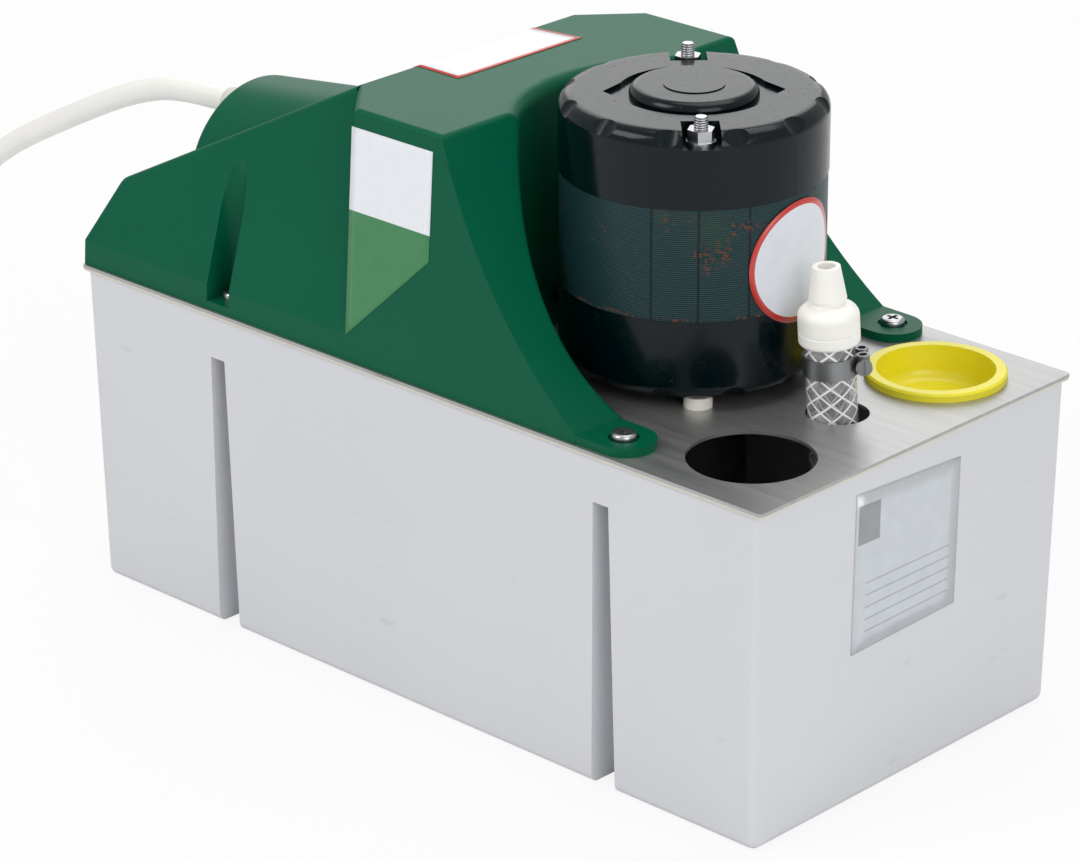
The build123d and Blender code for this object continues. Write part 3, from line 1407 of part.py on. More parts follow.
coil_start = (*coil_entry, 3 * cable_radius - stub_sink)
mains_cable = cable_tube([cable_start, *cable_route, coil_start], cable_radius)
mains_cable.label = "mains_cable"
export_step(mains_cable, "parts/mains_cable.step")

coil_heading = (Vector(*coil_start) - Vector(*cable_route[-1])).normalized()
coil_side = Vector(-coil_heading.Y, coil_heading.X, 0)
coil_middle = Vector(*coil_entry) + coil_heading * coil_stub + coil_side * (coil_outer_turn - stub_sink)
coil_inner_turn = coil_outer_turn - 2 * cable_radius
coil_top = 2 * cable_radius * coil_rows
tail_middle = (coil_outer_turn + coil_inner_turn) / 2
tie_span = coil_outer_turn - coil_inner_turn + 2 * cable_radius + 2 * tie_proud
tie_height = coil_top + tie_proud
with BuildPart() as tie:
    with BuildSketch(Plane.XZ.offset(-tie_width / 2)):
        with Locations((tail_middle, tie_height / 2)):
            Rectangle(tie_span, tie_height)
            Rectangle(tie_span - 2 * tie_thick, tie_height - 2 * tie_thick, mode=Mode.SUBTRACT)
    extrude(amount=tie_width)
coil_tie = tie.part.moved(Location((coil_middle.X, coil_middle.Y, 0), (0, 0, 1), tie_angle))
coil_tie.label = "coil_tie"
export_step(coil_tie, "parts/coil_tie.step")

tail_out = Vector(1, 0, 0).rotate(Axis.Z, tail_angle)
tail_along = Vector(0, 1, 0).rotate(Axis.Z, tail_angle)
tail_z = coil_top + cable_radius - tail_sink
tail_end = coil_middle + tail_out * tail_middle + Vector(0, 0, tail_z)
with BuildPart() as cable_coil:
    with BuildSketch(Plane.XY):
        with Locations((coil_middle.X, coil_middle.Y)):
            Circle(coil_outer_turn + cable_radius)
            Circle(coil_inner_turn - cable_radius, mode=Mode.SUBTRACT)
    extrude(amount=coil_top)
    fillet(cable_coil.edges().filter_by(GeomType.CIRCLE), cable_radius - coil_edge_flat)
    with BuildSketch(Plane(origin=coil_start, z_dir=coil_heading)):
        Circle(cable_radius)
    extrude(amount=coil_stub)
    with BuildSketch(Plane(origin=tail_end - tail_along * tail_length, z_dir=tail_along)):
        Circle(cable_radius)
    extrude(amount=tail_length)
    add(coil_tie, mode=Mode.SUBTRACT)
cable_coil.part.label = "cable_coil"
export_step(cable_coil.part, "parts/cable_coil.step")

core_rest = Vector(0, 0, coil_top + core_radius + core_gap - tail_z)
with BuildPart() as cable_cores:
    for place in (-1, 0, 1):
        root = tail_end + tail_out * (place * (2 * core_radius + core_gap))
        tip = tail_end + tail_out * (place * core_spread) + tail_along * core_length + core_rest
        with BuildSketch(Plane(origin=root, x_dir=tail_out, z_dir=tail_along)):
            Circle(core_radius)
        with BuildSketch(Plane(origin=tip, x_dir=tail_out, z_dir=tail_along)):
            Circle(core_radius)
        loft()
cable_cores.part.label = "cable_cores"
export_step(cable_cores.part, "parts/cable_cores.step")
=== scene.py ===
# %% [markdown]
# # A condensate pump on a pale floor
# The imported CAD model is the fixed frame. This notebook adds the camera, the light, the supply
# cable, the labels and a finish for every piece. Everything is in metres, +Z is up and +X runs
# along the tank towards its inlets.

# %% Load the frame
import math

import bmesh
import bpy
import numpy as np
from mathutils import Matrix, Vector


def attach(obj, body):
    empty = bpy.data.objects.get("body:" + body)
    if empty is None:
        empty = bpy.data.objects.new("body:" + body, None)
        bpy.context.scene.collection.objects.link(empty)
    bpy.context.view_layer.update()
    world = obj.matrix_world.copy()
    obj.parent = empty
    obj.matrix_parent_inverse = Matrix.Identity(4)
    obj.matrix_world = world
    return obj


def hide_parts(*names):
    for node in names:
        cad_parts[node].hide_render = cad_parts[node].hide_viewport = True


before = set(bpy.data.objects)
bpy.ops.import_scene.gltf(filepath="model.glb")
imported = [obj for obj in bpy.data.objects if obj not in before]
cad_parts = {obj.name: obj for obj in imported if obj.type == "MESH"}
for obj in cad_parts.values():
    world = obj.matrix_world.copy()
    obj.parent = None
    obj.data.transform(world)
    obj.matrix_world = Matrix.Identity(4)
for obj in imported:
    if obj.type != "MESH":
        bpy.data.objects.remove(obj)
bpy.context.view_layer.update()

# %% [markdown]
# ## Camera
# The pump is seen from above its near long side, from far away with a long lens, so that parallel
# edges nearly stay parallel. The camera's place is worked out from two angles and a distance: `back`
# points from the pump to the camera, and `right` and `above` span the picture.

# %% Camera
around, height_angle, roll = np.radians((43.641325, 23.132951, -0.250584))
distance, shift_right, shift_above = 1.3708537, -0.006616, 0.063136
focal_pixels, picture_pixels, film_width = 4398.5953, 1080, 36.0

back = np.array((math.sin(around) * math.cos(height_angle),
                 -math.cos(around) * math.cos(height_angle), math.sin(height_angle)))
level = np.array((math.cos(around), math.sin(around), 0.0))
upright = np.cross(back, level)
right = math.cos(roll) * level + math.sin(roll) * upright
above = -math.sin(roll) * level + math.cos(roll) * upright
eye = distance * back + shift_right * right + shift_above * above

lens = bpy.data.cameras.new("camera")
lens.sensor_width = film_width
lens.lens = focal_pixels / picture_pixels * film_width
lens.clip_start = 0.05
camera = bpy.data.objects.new("camera", lens)
bpy.context.collection.objects.link(camera)
camera.matrix_world = Matrix([[right[i], above[i], back[i], eye[i]] for i in range(3)]
                             + [[0, 0, 0, 1]])
bpy.context.scene.camera = camera
print("camera at", np.round(eye, 3), "lens", round(lens.lens, 1), "mm")

# %% [markdown]
# ## Shader expressions
# A material is a graph of small nodes, and a graph is hard to read in code. `Wire` wraps one output
# socket, so that `a * 2 + b` adds the Math nodes by itself. `Finish` makes a material with one
# Principled shader and has one method, `node`, for every other kind of node.

# %% A socket that does arithmetic
class Wire:
    """An output socket. Arithmetic on it adds Math nodes and gives a new Wire."""

    def __init__(self, tree, socket):
        self.tree, self.socket = tree, socket

    def math(self, operation, *others):
        node = self.tree.nodes.new("ShaderNodeMath")
        node.operation = operation
        for place, value in enumerate((self, *others)):
            plug(self.tree, node.inputs[place], value)
        return Wire(self.tree, node.outputs[0])

    def __add__(self, other):
        return self.math("ADD", other)

    def __sub__(self, other):
        return self.math("SUBTRACT", other)

    def __mul__(self, other):
        return self.math("MULTIPLY", other)

    def __rsub__(self, other):
        return self.math("MULTIPLY", -1.0) + other

    def __lt__(self, other):
        return self.math("LESS_THAN", other)

    __radd__ = __add__


def plug(tree, socket, value):
    """Links a Wire to a socket, or sets the socket to a plain value."""
    if isinstance(value, Wire):
        tree.links.new(value.socket, socket)
    else:
        socket.default_value = value


def tone(red, green, blue):
    """A colour as a picture editor shows it, 0 to 255, as the linear values a shader takes."""
    parts = [c / 255 for c in (red, green, blue)]
    linear = [c / 12.92 if c < 0.04045 else ((c + 0.055) / 1.055) ** 2.4 for c in parts]
    return (*linear, 1.0)


# %% A material
class Finish:
    """A material with one Principled shader. Keywords set that shader's own sockets."""

    def __init__(self, name, **constants):
        self.material = bpy.data.materials.new(name)
        self.material.use_nodes = True
        self.tree = self.material.node_tree
        self.shader = self.tree.nodes["Principled BSDF"]
        self.place = self.node("ShaderNodeTexCoord", out="Object")
        self.set(**constants)

    def set(self, **values):
        for name, value in values.items():
            plug(self.tree, self.shader.inputs[name.replace("_", " ")], value)

    def node(self, kind, settings=None, out=0, **values):
        """Any node: its type, its settings, and the values or links of its inputs."""
        node = self.tree.nodes.new(kind)
        for name, value in (settings or {}).items():
            setattr(node, name, value)
        for name, value in values.items():
            plug(self.tree, node.inputs[name.replace("_", " ")], value)
        return Wire(self.tree, node.outputs[out])

    def noise(self, scale, detail=3.0, stretch=None, roughness=0.5):
        """Cloudy noise from 0 to 1 on object coordinates; stretch scales each axis."""
        spot = self.place
        if stretch:
            spot = self.node("ShaderNodeMapping", Vector=self.place, Scale=stretch)
        return self.node("ShaderNodeTexNoise", Vector=spot, Scale=scale, Detail=detail,
                         Roughness=roughness)

    def axis(self, name):
        """One coordinate of the point that is shaded, in metres."""
        return self.node("ShaderNodeSeparateXYZ", out=name, Vector=self.place)

    def steps(self, value, low, high):
        """0 below low, 1 above high and a smooth ramp between them."""
        return self.node("ShaderNodeMapRange", {"interpolation_type": "SMOOTHSTEP"},
                         Value=value, From_Min=low, From_Max=high)

    def blend(self, share, first, second):
        """A colour that goes from first to second as share goes from 0 to 1."""
        node = self.tree.nodes.new("ShaderNodeMix")
        node.data_type = "RGBA"
        for place, value in ((0, share), (6, first), (7, second)):
            plug(self.tree, node.inputs[place], value)
        return Wire(self.tree, node.outputs[2])

    def bump(self, height, strength, distance):
        self.set(Normal=self.node("ShaderNodeBump", Height=height, Strength=strength,
                                  Distance=distance))


def grained(name, dark, light, rough, grain, bump_depth=0.00004, **constants):
    """A plain finish whose colour, roughness and surface all follow noise of one grain."""
    spread = 0.08
    made = Finish(name, **constants)
    cloud = made.noise(grain * 0.12, 4.0)
    fine = made.noise(grain, 3.0)
    made.set(Base_Color=made.blend(cloud, tone(*dark), tone(*light)),
             Roughness=fine * spread + (rough - spread / 2))
    made.bump(fine, 0.5, bump_depth)
    return made.material


# %% [markdown]
# ## Floor and light
# The pump stands on a white sweep in soft studio light. The floor is a stage piece, so it isn't part
# of the pump. With Light Path, the camera sees the floor as nearly white and the world as white.
# Reflections see both only a little brighter than the plain level that lights the pump itself.

# %% Floor
floor_mesh = bpy.data.meshes.new("floor")
reach_out = 6
corners = [(-reach_out, -reach_out, 0), (reach_out, -reach_out, 0),
           (reach_out, reach_out, 0), (-reach_out, reach_out, 0)]
floor_mesh.from_pydata(corners, [], [(0, 1, 2, 3)])
floor = bpy.data.objects.new("floor", floor_mesh)
bpy.context.collection.objects.link(floor)
floor_finish = Finish("floor_white", Base_Color=tone(236, 236, 238), Roughness=0.9)
seen = floor_finish.node("ShaderNodeLightPath", out="Is Camera Ray")
mirrored = floor_finish.node("ShaderNodeLightPath", out="Is Glossy Ray")
pale = floor_finish.node("ShaderNodeEmission", Color=tone(255, 255, 255), Strength=1.0)
mixed = floor_finish.node("ShaderNodeMixShader", Fac=seen * 0.86 + mirrored * 0.1)
mixing = mixed.socket.node
floor_finish.tree.links.new(floor_finish.shader.outputs[0], mixing.inputs[1])
floor_finish.tree.links.new(pale.socket, mixing.inputs[2])
floor_finish.tree.links.new(mixed.socket, floor_finish.tree.nodes["Material Output"].inputs[0])
floor_mesh.materials.append(floor_finish.material)

# %% World
world = bpy.data.worlds.new("studio")
bpy.context.scene.world = world
world.use_nodes = True
sky = world.node_tree
paths = sky.nodes.new("ShaderNodeLightPath")
glow = sky.nodes["Background"]
glow.inputs["Color"].default_value = tone(255, 255, 255)
direct, through, glossy = (Wire(sky, paths.outputs["Is %s Ray" % kind])
                           for kind in ("Camera", "Transmission", "Glossy"))
plain_level, seen_gain, mirrored_gain = 0.44, 0.56, 0.1
plug(sky, glow.inputs["Strength"],
     direct.math("MAXIMUM", through) * seen_gain + glossy * mirrored_gain + plain_level)
bpy.context.scene.view_settings.view_transform = "Standard"


# %% Lamps
def lamp(name, place, aim, size, power):
    """A square soft box at a place, facing a point."""
    light = bpy.data.lights.new(name, "AREA")
    light.size, light.energy = size, power
    holder = bpy.data.objects.new(name, light)
    bpy.context.collection.objects.link(holder)
    facing = (Vector(aim) - Vector(place)).to_track_quat("-Z", "Y")
    holder.matrix_world = Matrix.Translation(place) @ facing.to_matrix().to_4x4()


lamp("key_light", (-0.7, -1.5, 1.6), (0, 0, 0.08), 1.1, 17)
lamp("fill_light", (1.7, -0.6, 0.9), (0, 0, 0.08), 1.2, 12)
lamp("top_light", (0.1, 0.5, 1.9), (0, 0, 0.08), 1.4, 13)
lamp("back_light", (-1.25, 1.35, 1.0), (0, 0, 0.12), 1.3, 6.5)

# %% [markdown]
# ## Supply cable
# About 1.4 m of white 7.6 mm flex leaves the cover's boss, falls to the floor outside the camera's
# view and is put away there in a small coil. The length is a guess at what such a pump is supplied
# with. A cable bends evenly, so its line is one NURBS spline whose control points are the route: the
# first ones bring it down, and an array of angles lays four turns in a bundle two wide and two high,
# which change places once a turn, with the end on top. The bevel gives it thickness.

# %% Cable route
cable_radius = 0.0038
route = [(-0.145, 0, 0.141), (-0.166, 0, 0.141), (-0.190, 0, 0.1346), (-0.222, 0, 0.119),
         (-0.262, 0, 0.0975), (-0.284, -0.008, 0.074), (-0.299, -0.024, 0.046),
         (-0.304, -0.044, 0.022), (-0.300, -0.066, 0.011), (-0.2925, -0.087, 0.011)]
entry = np.array(route[-1])
heading = (entry - np.array(route[-2])) / np.linalg.norm(entry - np.array(route[-2]))
sideways = np.array((-heading[1], heading[0], 0.0))

# %% Coil points
coil_middle = entry + heading * 0.028 + sideways * 0.0432
coil_radius = 0.0398
place_offset = 0.00537
bundle_middle, hump, top_height = 0.0076, 0.0021, 0.0184
end_direction = math.radians(-60)
first_angle = math.atan2(-sideways[1], -sideways[0])
last_turn = 4 + (end_direction - first_angle) / (2 * math.pi)
turned = np.linspace(0.0, last_turn, 104)[1:]


def ease(value):
    """0 below 0, 1 above 1 and a smooth S between them."""
    value = np.clip(value, 0.0, 1.0)
    return value * value * (3 - 2 * value)


# four turns share a square of 2 by 2 places, each place_offset from its middle; all shift by one
# place in the same short stretch, as strands of a rope do, so they stay one diameter apart
shift = ease((turned % 1.0 - 0.62) / 0.2)
cell = np.radians(45) - np.radians(90) * (np.floor(turned) + shift)
reach = coil_radius + place_offset * np.cos(cell)
lift = bundle_middle + place_offset * np.sin(cell) + hump * np.sin(np.pi * shift)
onto_top = ease((turned - 3.66) / 0.14)
reach = (reach * (1 - onto_top) + coil_radius * onto_top) * 1.005
lift = lift * (1 - onto_top) + top_height * onto_top
angle = first_angle + 2 * np.pi * turned
wound = np.stack((coil_middle[0] + reach * np.cos(angle),
                  coil_middle[1] + reach * np.sin(angle), lift), axis=1)
print("coil middle", np.round(coil_middle, 4), "control points", len(route) + len(wound))

# %% Cable curve
cable_line = bpy.data.curves.new("supply_cable", "CURVE")
cable_line.dimensions = "3D"
spline = cable_line.splines.new("NURBS")
points = np.vstack((np.array(route, float), wound))
spline.points.add(len(points) - 1)
spline.points.foreach_set("co", np.hstack((points, np.ones((len(points), 1)))).ravel())
spline.order_u = 3
spline.use_endpoint_u = True
spline.resolution_u = 6
cable_line.bevel_depth = cable_radius
cable_line.bevel_resolution = 6
cable_line.use_fill_caps = True
cable = bpy.data.objects.new("supply_cable", cable_line)
bpy.context.collection.objects.link(cable)

# %% Cable line points
# the points of the line are read from a copy that has no thickness
bare = cable_line.copy()
bare.bevel_depth = 0
probe = bpy.data.objects.new("probe", bare)
line = bpy.data.meshes.new_from_object(probe)
line_points = np.empty(len(line.vertices) * 3)
line.vertices.foreach_get("co", line_points)
line_points = line_points.reshape(-1, 3)
bpy.data.objects.remove(probe)
bpy.data.meshes.remove(line)
bpy.data.curves.remove(bare)

# %% Cable piece
cable_line.materials.append(grained("cable_sheath", (238, 236, 230), (246, 245, 240), 0.42, 900,
                                    0.00003, Coat_Weight=0.15))
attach(cable, "housing")
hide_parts("mains_cable", "cable_coil")

# %% [markdown]
# ## Tank, gasket and plate
# The tank is injection-moulded in light grey plastic. Such a surface is smooth but never quite flat,
# so a very shallow bump breaks up its reflections, and its colour drifts a little from place to
# place. The plate is brushed stainless sheet: noise stretched along X draws the brush lines.

# %% Dressing helper
def dress(material, *nodes):
    """Gives a CAD node its finish."""
    for node in nodes:
        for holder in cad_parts[node].material_slots:
            holder.material = material


# %% Tank
tank = Finish("tank_plastic", Specular_IOR_Level=0.45)
drift = tank.noise(9, 3.0)
pores = tank.noise(1400, 2.0)
scuffs = tank.steps(tank.noise(60, 6.0, stretch=(1, 1, 2.5)), 0.66, 0.74)
shade = tank.blend(drift, tone(207, 208, 212), tone(217, 218, 221))
tank.set(Base_Color=tank.blend(scuffs * 0.25, shade, tone(176, 176, 178)),
         Roughness=pores * 0.06 + 0.34 + scuffs * 0.12)
tank.bump(drift * 0.9 + pores * 0.05, 0.25, 0.0006)
dress(tank.material, "tank")

# %% Gasket and plate
dress(grained("gasket_foam", (206, 200, 186), (224, 219, 207), 0.85, 1600, 0.00015),
      "rim_gasket")

plate = Finish("plate_steel", Metallic=0.82)
brushed = plate.noise(260, 4.0, stretch=(0.06, 1.6, 1.0))
clouds = plate.noise(22, 4.0)
marks = plate.steps(plate.noise(45, 5.0, stretch=(0.5, 1, 1)), 0.60, 0.72)
steel = plate.blend(brushed, tone(156, 157, 158), tone(198, 198, 196))
plate.set(Base_Color=plate.blend(marks * 0.35 + clouds * 0.12, steel, tone(118, 117, 116)),
          Roughness=brushed * 0.12 + clouds * 0.08 + marks * 0.1 + 0.27)
plate.bump(brushed, 0.35, 0.00005)
dress(plate.material, "top_plate")

# %% [markdown]
# ## Cover
# The cover is a thick dark green moulding with a fine leather-like grain from the mould. Its colour
# drifts in large patches and is lighter on that grain, and its gloss follows both.

# %% Cover
cover = Finish("cover_plastic", Specular_IOR_Level=0.13)
grain = cover.noise(1500, 4.0)
patches = cover.noise(14, 3.0)
green = cover.blend(patches, tone(0, 77, 51), tone(0, 91, 63))
cover.set(Base_Color=cover.blend(grain * 0.35, green, tone(0, 108, 80)),
          Roughness=grain * 0.12 + patches * 0.06 + 0.30)
cover.bump(grain, 0.4, 0.00006)
dress(cover.material, "cover")

# %% [markdown]
# ## Motor
# Both end caps are pressed steel in thick gloss enamel. Between them lies the bare edge of a stack of
# thin steel sheets: fine level lines, six upright weld seams, and freckles of rust where the varnish
# is thin. The lines come from the height alone, and the seams from the angle about the motor.

# %% End caps
motor_x = 0.053
enamel = Finish("motor_enamel", Specular_IOR_Level=0.2, Coat_Weight=0.15, Coat_Roughness=0.1)
peel = enamel.noise(240, 2.0)
dust = enamel.steps(enamel.noise(900, 5.0), 0.63, 0.72)
enamel.set(Base_Color=enamel.blend(dust * 0.3, tone(0, 13, 17), tone(38, 48, 50)),
           Roughness=peel * 0.10 + dust * 0.25 + 0.16)
enamel.bump(peel, 0.2, 0.0002)
dress(enamel.material, "motor_bottom_cap", "motor_top_cap")

# %% Lamination stack
sheets = Finish("lamination_steel", Specular_IOR_Level=0.3)
height = sheets.axis("Z")
across = sheets.axis("X") - motor_x
along = sheets.axis("Y")
bearing_angle = along.math("ARCTAN2", across)
sheets_per_metre, seam_half_width = 1600, 0.010
layer = (height * sheets_per_metre).math("FRACT")
gap_line = sheets.steps((layer - 0.5).math("ABSOLUTE"), 0.30, 0.46)
seam = 0.0
for where in (-66.0, -46.0, -24.0, 70.0, 130.0, 190.0):
    seam = ((bearing_angle - math.radians(where)).math("ABSOLUTE") < seam_half_width) + seam
rust_cloud = sheets.noise(70, 5.0, roughness=0.62)
low_edge = 1 - sheets.steps(height, 0.1345, 0.1362)
rust = sheets.steps(rust_cloud + low_edge * 0.2, 0.54, 0.68)
freckle = sheets.steps(sheets.noise(900, 3.0), 0.52, 0.62)
mossy = sheets.steps(sheets.noise(26, 4.0), 0.56, 0.75)
petrol = sheets.blend(mossy * 0.7, tone(12, 42, 46), tone(44, 64, 24))
lined = sheets.blend(gap_line * 0.75, petrol, tone(60, 94, 96))
welded = sheets.blend(seam * 0.8, lined, tone(10, 20, 24))
sheets.set(Base_Color=sheets.blend(rust * freckle * 0.85, welded, tone(118, 66, 42)),
           Metallic=0.2, Roughness=gap_line * 0.12 + rust * 0.3 + 0.36)
sheets.bump(gap_line * -1.0 - seam * 0.8 + freckle * 0.3, 0.6, 0.0001)
dress(sheets.material, "lamination_stack")

# %% Bright metal
def plated(name, dark, light, rough):
    """Plated or bare bright metal: small patches differ in tint and gloss."""
    made = Finish(name, Metallic=1.0)
    cloud = made.noise(120, 4.0)
    fine = made.noise(1100, 3.0)
    made.set(Base_Color=made.blend(cloud, tone(*dark), tone(*light)),
             Roughness=cloud * 0.12 + fine * 0.06 + rough)
    made.bump(fine, 0.25, 0.00003)
    return made.material


dress(plated("zinc_steel", (150, 152, 158), (214, 214, 216), 0.20), "cover_screws", "motor_nuts",
      "column_nuts", "pump_screws", "switch_bracket", "switch_screws", "plate_screws")
dress(plated("clip_zinc", (118, 120, 122), (158, 160, 160), 0.30), "hose_clip_bands",
      "hose_clip_screws")

threaded = Finish("threaded_zinc", Metallic=1.0)
thread_pitch = 0.0007
thread_ridge_and_shade = (threaded.axis("Z") * (2 * math.pi / thread_pitch)).math("SINE") * 0.5 + 0.5
# painted shade: the colour darkens in every groove of the thread
threaded.set(Base_Color=threaded.blend(thread_ridge_and_shade, tone(96, 98, 102), tone(214, 214, 216)),
             Roughness=thread_ridge_and_shade * 0.1 + 0.22)
threaded.bump(thread_ridge_and_shade, 1.0, 0.0003)
dress(threaded.material, "motor_studs")
dress(plated("rod_steel", (150, 152, 156), (196, 198, 202), 0.24), "float_rod", "float_clips",
      "lever_pin", "motor_shaft", "rotor_core")
dress(plated("cast_aluminium", (170, 172, 176), (206, 207, 210), 0.38), "rotor_end_rings")
dress(plated("brass", (168, 136, 70), (206, 174, 104), 0.28), "impeller_nut", "earth_screw",
      "terminal_screws")
dress(plated("bronze", (132, 96, 54), (176, 136, 82), 0.42), "upper_bearing", "lower_bearing",
      "pump_bush")

# %% Winding
winding = Finish("winding", Coat_Weight=0.3)
round_motor = ((winding.axis("X") - motor_x) * (winding.axis("X") - motor_x)
               + winding.axis("Y") * winding.axis("Y")).math("SQRT")
strand_and_shade = ((winding.axis("Z") + round_motor) * 1500).math("SINE") * 0.5 + 0.5
# painted shade: the colour darkens in the creases between the wire strands
winding.set(Base_Color=winding.blend(strand_and_shade, tone(96, 44, 20), tone(176, 96, 50)), Metallic=0.3,
            Roughness=strand_and_shade * 0.2 + 0.3)
winding.bump(strand_and_shade, 0.5, 0.0002)
dress(winding.material, "stator_windings")

# %% [markdown]
# ## Hose and check valve
# The riser is clear hose with a white braid inside its wall. The braid is two sets of threads that
# wind opposite ways, so a thread lies where the angle about the hose, plus or minus the height, comes
# to a whole number. The hose leans, so the angle is taken about its leaning middle line.

# %% Braided hose
hose = Finish("braided_hose", Coat_Weight=0.6, Coat_Roughness=0.05)
rise = hose.axis("Z") - 0.1062
hose_x = hose.axis("X") - 0.1083 + rise * 0.0443
hose_y = hose.axis("Y") + 0.0013 + rise * 0.0422
threads_round, thread_rise = 7, 0.0051
hose_turn = hose_y.math("ARCTAN2", hose_x) * (threads_round / (2 * math.pi))
climb = rise * (1 / thread_rise)


def thread(value):
    """1 on the thread and 0 between threads, for a value that counts threads."""
    off = ((value + 100.5).math("FRACT") - 0.5).math("ABSOLUTE")
    return 1 - hose.steps(off, 0.06, 0.10)


braid = thread(hose_turn + climb).math("MAXIMUM", thread(hose_turn - climb))
smoke = hose.steps(hose.noise(90, 3.0), 0.42, 0.62)
hose.set(Base_Color=hose.blend(braid, hose.blend(smoke, tone(132, 134, 138), tone(196, 198, 200)),
                               tone(255, 255, 255)),
         Roughness=0.08 + braid * 0.3, Alpha=braid * 0.5 + smoke * 0.15 + 0.35)
hose.bump(braid, 0.5, 0.0003)
dress(hose.material, "riser_hose")

# %% Valve and small mouldings
dress(grained("valve_plastic", (244, 242, 235), (252, 251, 246), 0.45, 800), "valve_body",
      "valve_cap")
dress(grained("seat_rubber", (28, 28, 30), (44, 44, 46), 0.7, 1200), "valve_seat",
      "shaft_slinger", "lead_grommet")
dress(grained("ball_plastic", (226, 226, 220), (244, 244, 240), 0.3, 900), "valve_ball")
dress(grained("nylon_white", (222, 218, 206), (240, 238, 230), 0.4, 700), "motor_spacers",
      "rod_bush", "rod_collars", "float_lever", "cable_clamp", "terminal_block")
dress(grained("switch_case", (18, 18, 20), (34, 34, 36), 0.45, 900), "run_microswitch",
      "alarm_microswitch", "motor_lead")
dress(grained("plunger_red", (150, 26, 22), (180, 40, 34), 0.4, 900), "run_plunger", "alarm_plunger")
dress(grained("pump_plastic", (24, 26, 30), (42, 44, 48), 0.5, 600, 0.00006), "pump_column",
      "pump_housing", "pump_inlet_cover")
dress(grained("impeller_plastic", (200, 194, 178), (222, 217, 204), 0.4, 700), "impeller")
dress(grained("float_foam", (222, 222, 218), (240, 240, 238), 0.8, 400, 0.0003), "float_body")
dress(grained("inner_sheath", (214, 210, 200), (226, 222, 214), 0.45, 900), "inner_lead")
dress(grained("gland_plastic", (206, 203, 194), (220, 217, 209), 0.5, 800), "cable_gland")
dress(grained("tie_plastic", (26, 26, 28), (40, 40, 42), 0.4, 900), "coil_tie")

# %% Yellow plug
yellow = Finish("plug_plastic", Subsurface_Weight=0.12, Subsurface_Radius=(0.004, 0.003, 0.001),
                Coat_Weight=0.2)
haze = yellow.noise(60, 3.0)
yellow.set(Base_Color=yellow.blend(haze, tone(232, 220, 26), tone(242, 230, 48)),
           Roughness=yellow.noise(900, 3.0) * 0.1 + 0.34)
yellow.bump(haze, 0.15, 0.0004)
dress(yellow.material, "inlet_plug")

# %% Cores
cores = Finish("core_colours", Coat_Weight=0.1)
from_x, from_y = float(coil_middle[0]), float(coil_middle[1])
outwards = ((cores.axis("X") - from_x) * math.cos(end_direction)
            + (cores.axis("Y") - from_y) * math.sin(end_direction))
brown_part = 1 - cores.steps(outwards, 0.0382, 0.0384)
earth_part = cores.steps(outwards, 0.0412, 0.0414)
pick = cores.blend(brown_part, tone(40, 84, 170), tone(110, 64, 34))
striped = cores.steps((outwards * 900).math("SINE"), -0.1, 0.1)
earthy = cores.blend(striped, tone(60, 140, 50), tone(214, 196, 30))
cores.set(Base_Color=cores.blend(earth_part, pick, earthy), Roughness=cores.noise(900) * 0.1 + 0.35)
dress(cores.material, "cable_cores")

# %% [markdown]
# ## Labels
# The labels are thin sheets stuck on the cover, the tank and the motor. Each is a grid whose two
# parameters run across and up the sheet; a function turns them into points on the face that carries
# the sheet, just clear of it, and a modifier gives the sheet its 0.12 mm. Nothing is printed on them
# but plain colour fields, rims and ruled lines.

# %% Sheet helper
def sheet_piece(name, surface, columns, rows, material, body="housing"):
    """A thin label. surface(u, v) gives points for u across and v up, both from 0 to 1."""
    u, v = np.meshgrid(np.linspace(0, 1, columns + 1), np.linspace(0, 1, rows + 1))
    points = surface(u.ravel(), v.ravel())
    corner = (np.arange(rows)[:, None] * (columns + 1) + np.arange(columns)).ravel()
    faces = np.stack((corner, corner + 1, corner + columns + 2, corner + columns + 1), axis=1)
    mesh = bpy.data.meshes.new(name)
    mesh.from_pydata(points.tolist(), [], faces.tolist())
    layer = mesh.uv_layers.new(name="sheet")
    loops = faces.ravel()
    layer.data.foreach_set("uv", np.stack((u.ravel()[loops], v.ravel()[loops]), axis=1).ravel())
    joined = bmesh.new()
    joined.from_mesh(mesh)
    bmesh.ops.remove_doubles(joined, verts=joined.verts, dist=1e-6)
    joined.to_mesh(mesh)
    joined.free()
    mesh.materials.append(material)
    piece = bpy.data.objects.new(name, mesh)
    bpy.context.collection.objects.link(piece)
    thick = piece.modifiers.new("thickness", "SOLIDIFY")
    thick.thickness, thick.offset = 0.00012, 1.0
    mesh.polygons.foreach_set("use_smooth", np.ones(len(mesh.polygons), bool))
    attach(piece, body)
    print(name, "from", np.round(points.min(axis=0), 4), "to", np.round(points.max(axis=0), 4))


def sheet_axes(made):
    """The two parameters of a label, as wires."""
    spot = made.node("ShaderNodeUVMap", {"uv_map": "sheet"})
    return (made.node("ShaderNodeSeparateXYZ", out="X", Vector=spot),
            made.node("ShaderNodeSeparateXYZ", out="Y", Vector=spot))


# %% Side label
def side_label(u, v):
    """On the cover's leaning side: straight top edge, and a foot that rises towards the front."""
    top_edge, cover_foot, cover_rise, lean, clear = 0.1777, 0.1062, 0.0768, 0.0055, 0.00005
    x = -0.0231 + 0.0330 * u
    foot = 0.1139 + 0.0308 * u
    z = foot + (top_edge - foot) * v
    y = -(0.0683 - lean * (z - cover_foot) / cover_rise) - clear
    return np.stack((x, y, z), axis=1)


two_fields = Finish("side_label", Coat_Weight=0.1)
field_height = two_fields.axis("Z")
white_field = two_fields.steps(field_height, 0.1525, 0.1527)
worn = two_fields.noise(400, 4.0)
green_part = two_fields.blend(worn, tone(44, 120, 66), tone(58, 132, 78))
white_part = two_fields.blend(worn, tone(226, 229, 234), tone(236, 238, 242))
two_fields.set(Base_Color=two_fields.blend(white_field, green_part, white_part),
               Roughness=worn * 0.1 + 0.28)
sheet_piece("side_label", side_label, 12, 24, two_fields.material)

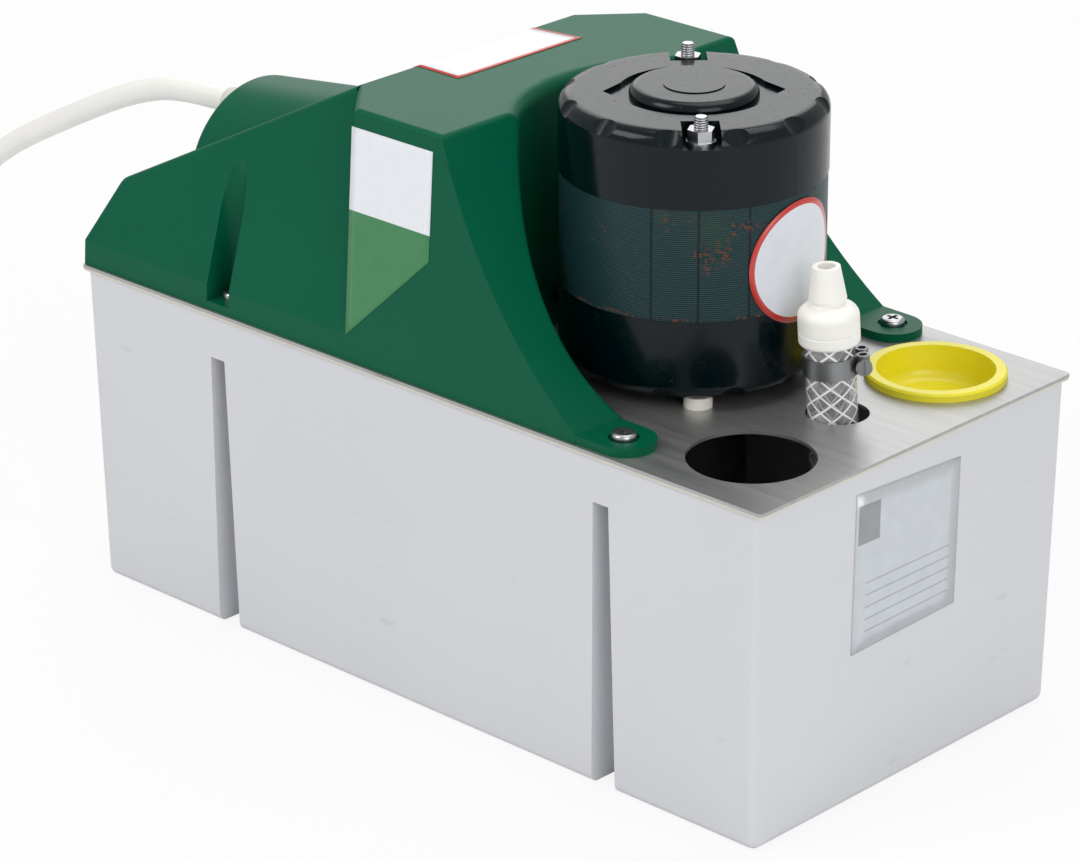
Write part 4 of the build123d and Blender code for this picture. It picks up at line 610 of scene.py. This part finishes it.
# %% Top label
def top_label(u, v):
    """Across the plateau's rear edge, bent down over it onto the sloping roof."""
    plateau_edge, plateau, clear, roof_slope = -0.0367, 0.1830, 0.00006, 0.52
    x = -0.0386 + 0.0190 * u + 0.0004 * v
    y = -0.0229 + (0.0500 + 0.0032 * u) * v
    drop = np.maximum(0.0, plateau_edge - x)
    z = plateau + clear - roof_slope * drop
    return np.stack((x, y, z), axis=1)


rimmed = Finish("top_label", Coat_Weight=0.1)
u_wire, v_wire = sheet_axes(rimmed)
from_side = (u_wire - 0.5).math("ABSOLUTE") * 0.0190
from_end = (v_wire - 0.5).math("ABSOLUTE") * 0.0510
rim = rimmed.steps(from_side, 0.0079, 0.0081).math(
    "MAXIMUM", rimmed.steps(from_end, 0.0239, 0.0241))
worn = rimmed.noise(400, 4.0)
white_part = rimmed.blend(worn, tone(222, 225, 228), tone(234, 236, 239))
rimmed.set(Base_Color=rimmed.blend(rim, white_part, tone(196, 70, 62)),
           Roughness=worn * 0.1 + 0.28)
sheet_piece("top_label", top_label, 24, 12, rimmed.material)

# %% Rating label
def rating_label(u, v):
    """On the tank's end wall, which leans by its draft."""
    tank_top, draft_slope = 0.1044, 0.014837
    y = -0.0270 + 0.0465 * u
    z = 0.0480 + 0.0008 * u + (0.0500 - 0.0035 * u) * v
    x = 0.1390 - (tank_top - z) * draft_slope + 0.00005
    return np.stack((x, y, z), axis=1)


plain_foil = Finish("rating_label", Metallic=0.35)
u_wire, v_wire = sheet_axes(plain_foil)
edge = plain_foil.steps((u_wire - 0.5).math("ABSOLUTE"), 0.485, 0.492).math(
    "MAXIMUM", plain_foil.steps((v_wire - 0.5).math("ABSOLUTE"), 0.485, 0.492))
ruled = plain_foil.steps(((v_wire * 13).math("FRACT") - 0.5).math("ABSOLUTE"), 0.05, 0.09)
inside_u = plain_foil.steps((u_wire - 0.52).math("ABSOLUTE"), 0.40, 0.41)
inside_v = plain_foil.steps((v_wire - 0.27).math("ABSOLUTE"), 0.20, 0.21)
lines = (1 - ruled) * (1 - inside_u) * (1 - inside_v)
box_u = plain_foil.steps((u_wire - 0.13).math("ABSOLUTE"), 0.10, 0.105)
box_v = plain_foil.steps((v_wire - 0.80).math("ABSOLUTE"), 0.12, 0.125)
block = (1 - box_u) * (1 - box_v)
foil = plain_foil.blend(plain_foil.noise(200, 3.0), tone(196, 201, 205), tone(212, 217, 220))
inked = plain_foil.blend((lines * 0.35 + block * 0.55).math("MINIMUM", 1.0), foil, tone(84, 90, 94))
plain_foil.set(Base_Color=plain_foil.blend(edge * 0.15, inked, tone(140, 148, 152)),
               Roughness=plain_foil.noise(600, 3.0) * 0.1 + 0.32)
sheet_piece("rating_label", rating_label, 8, 8, plain_foil.material)

# %% Motor sticker
sticker_turn, sticker_height, sticker_radius = math.radians(2.4), 0.1480, 0.0185
stack_radius, sheet_radius = 0.03945, 0.03940


def motor_sticker(u, v):
    """A round sheet wrapped on the motor: u is the way round the rim and v the way out."""
    turn, out = 2 * np.pi * u, sticker_radius * v
    place = sticker_turn + out * np.cos(turn) / stack_radius
    return np.stack((motor_x + sheet_radius * np.cos(place), sheet_radius * np.sin(place),
                     sticker_height + out * np.sin(turn)), axis=1)


ringed = Finish("motor_sticker", Coat_Weight=0.4)
facing = ringed.axis("Y").math("ARCTAN2", ringed.axis("X") - motor_x)
aside = (facing - sticker_turn) * stack_radius
upward = ringed.axis("Z") - sticker_height
away = (aside * aside + upward * upward).math("SQRT")
ring_mask = ringed.steps(away, 0.0166, 0.0168)
worn = ringed.noise(300, 4.0)
white_part = ringed.blend(worn, tone(214, 220, 228), tone(228, 232, 238))
ringed.set(Base_Color=ringed.blend(ring_mask, white_part, tone(198, 56, 48)),
           Roughness=worn * 0.1 + 0.26)
sheet_piece("motor_sticker", motor_sticker, 48, 10, ringed.material)
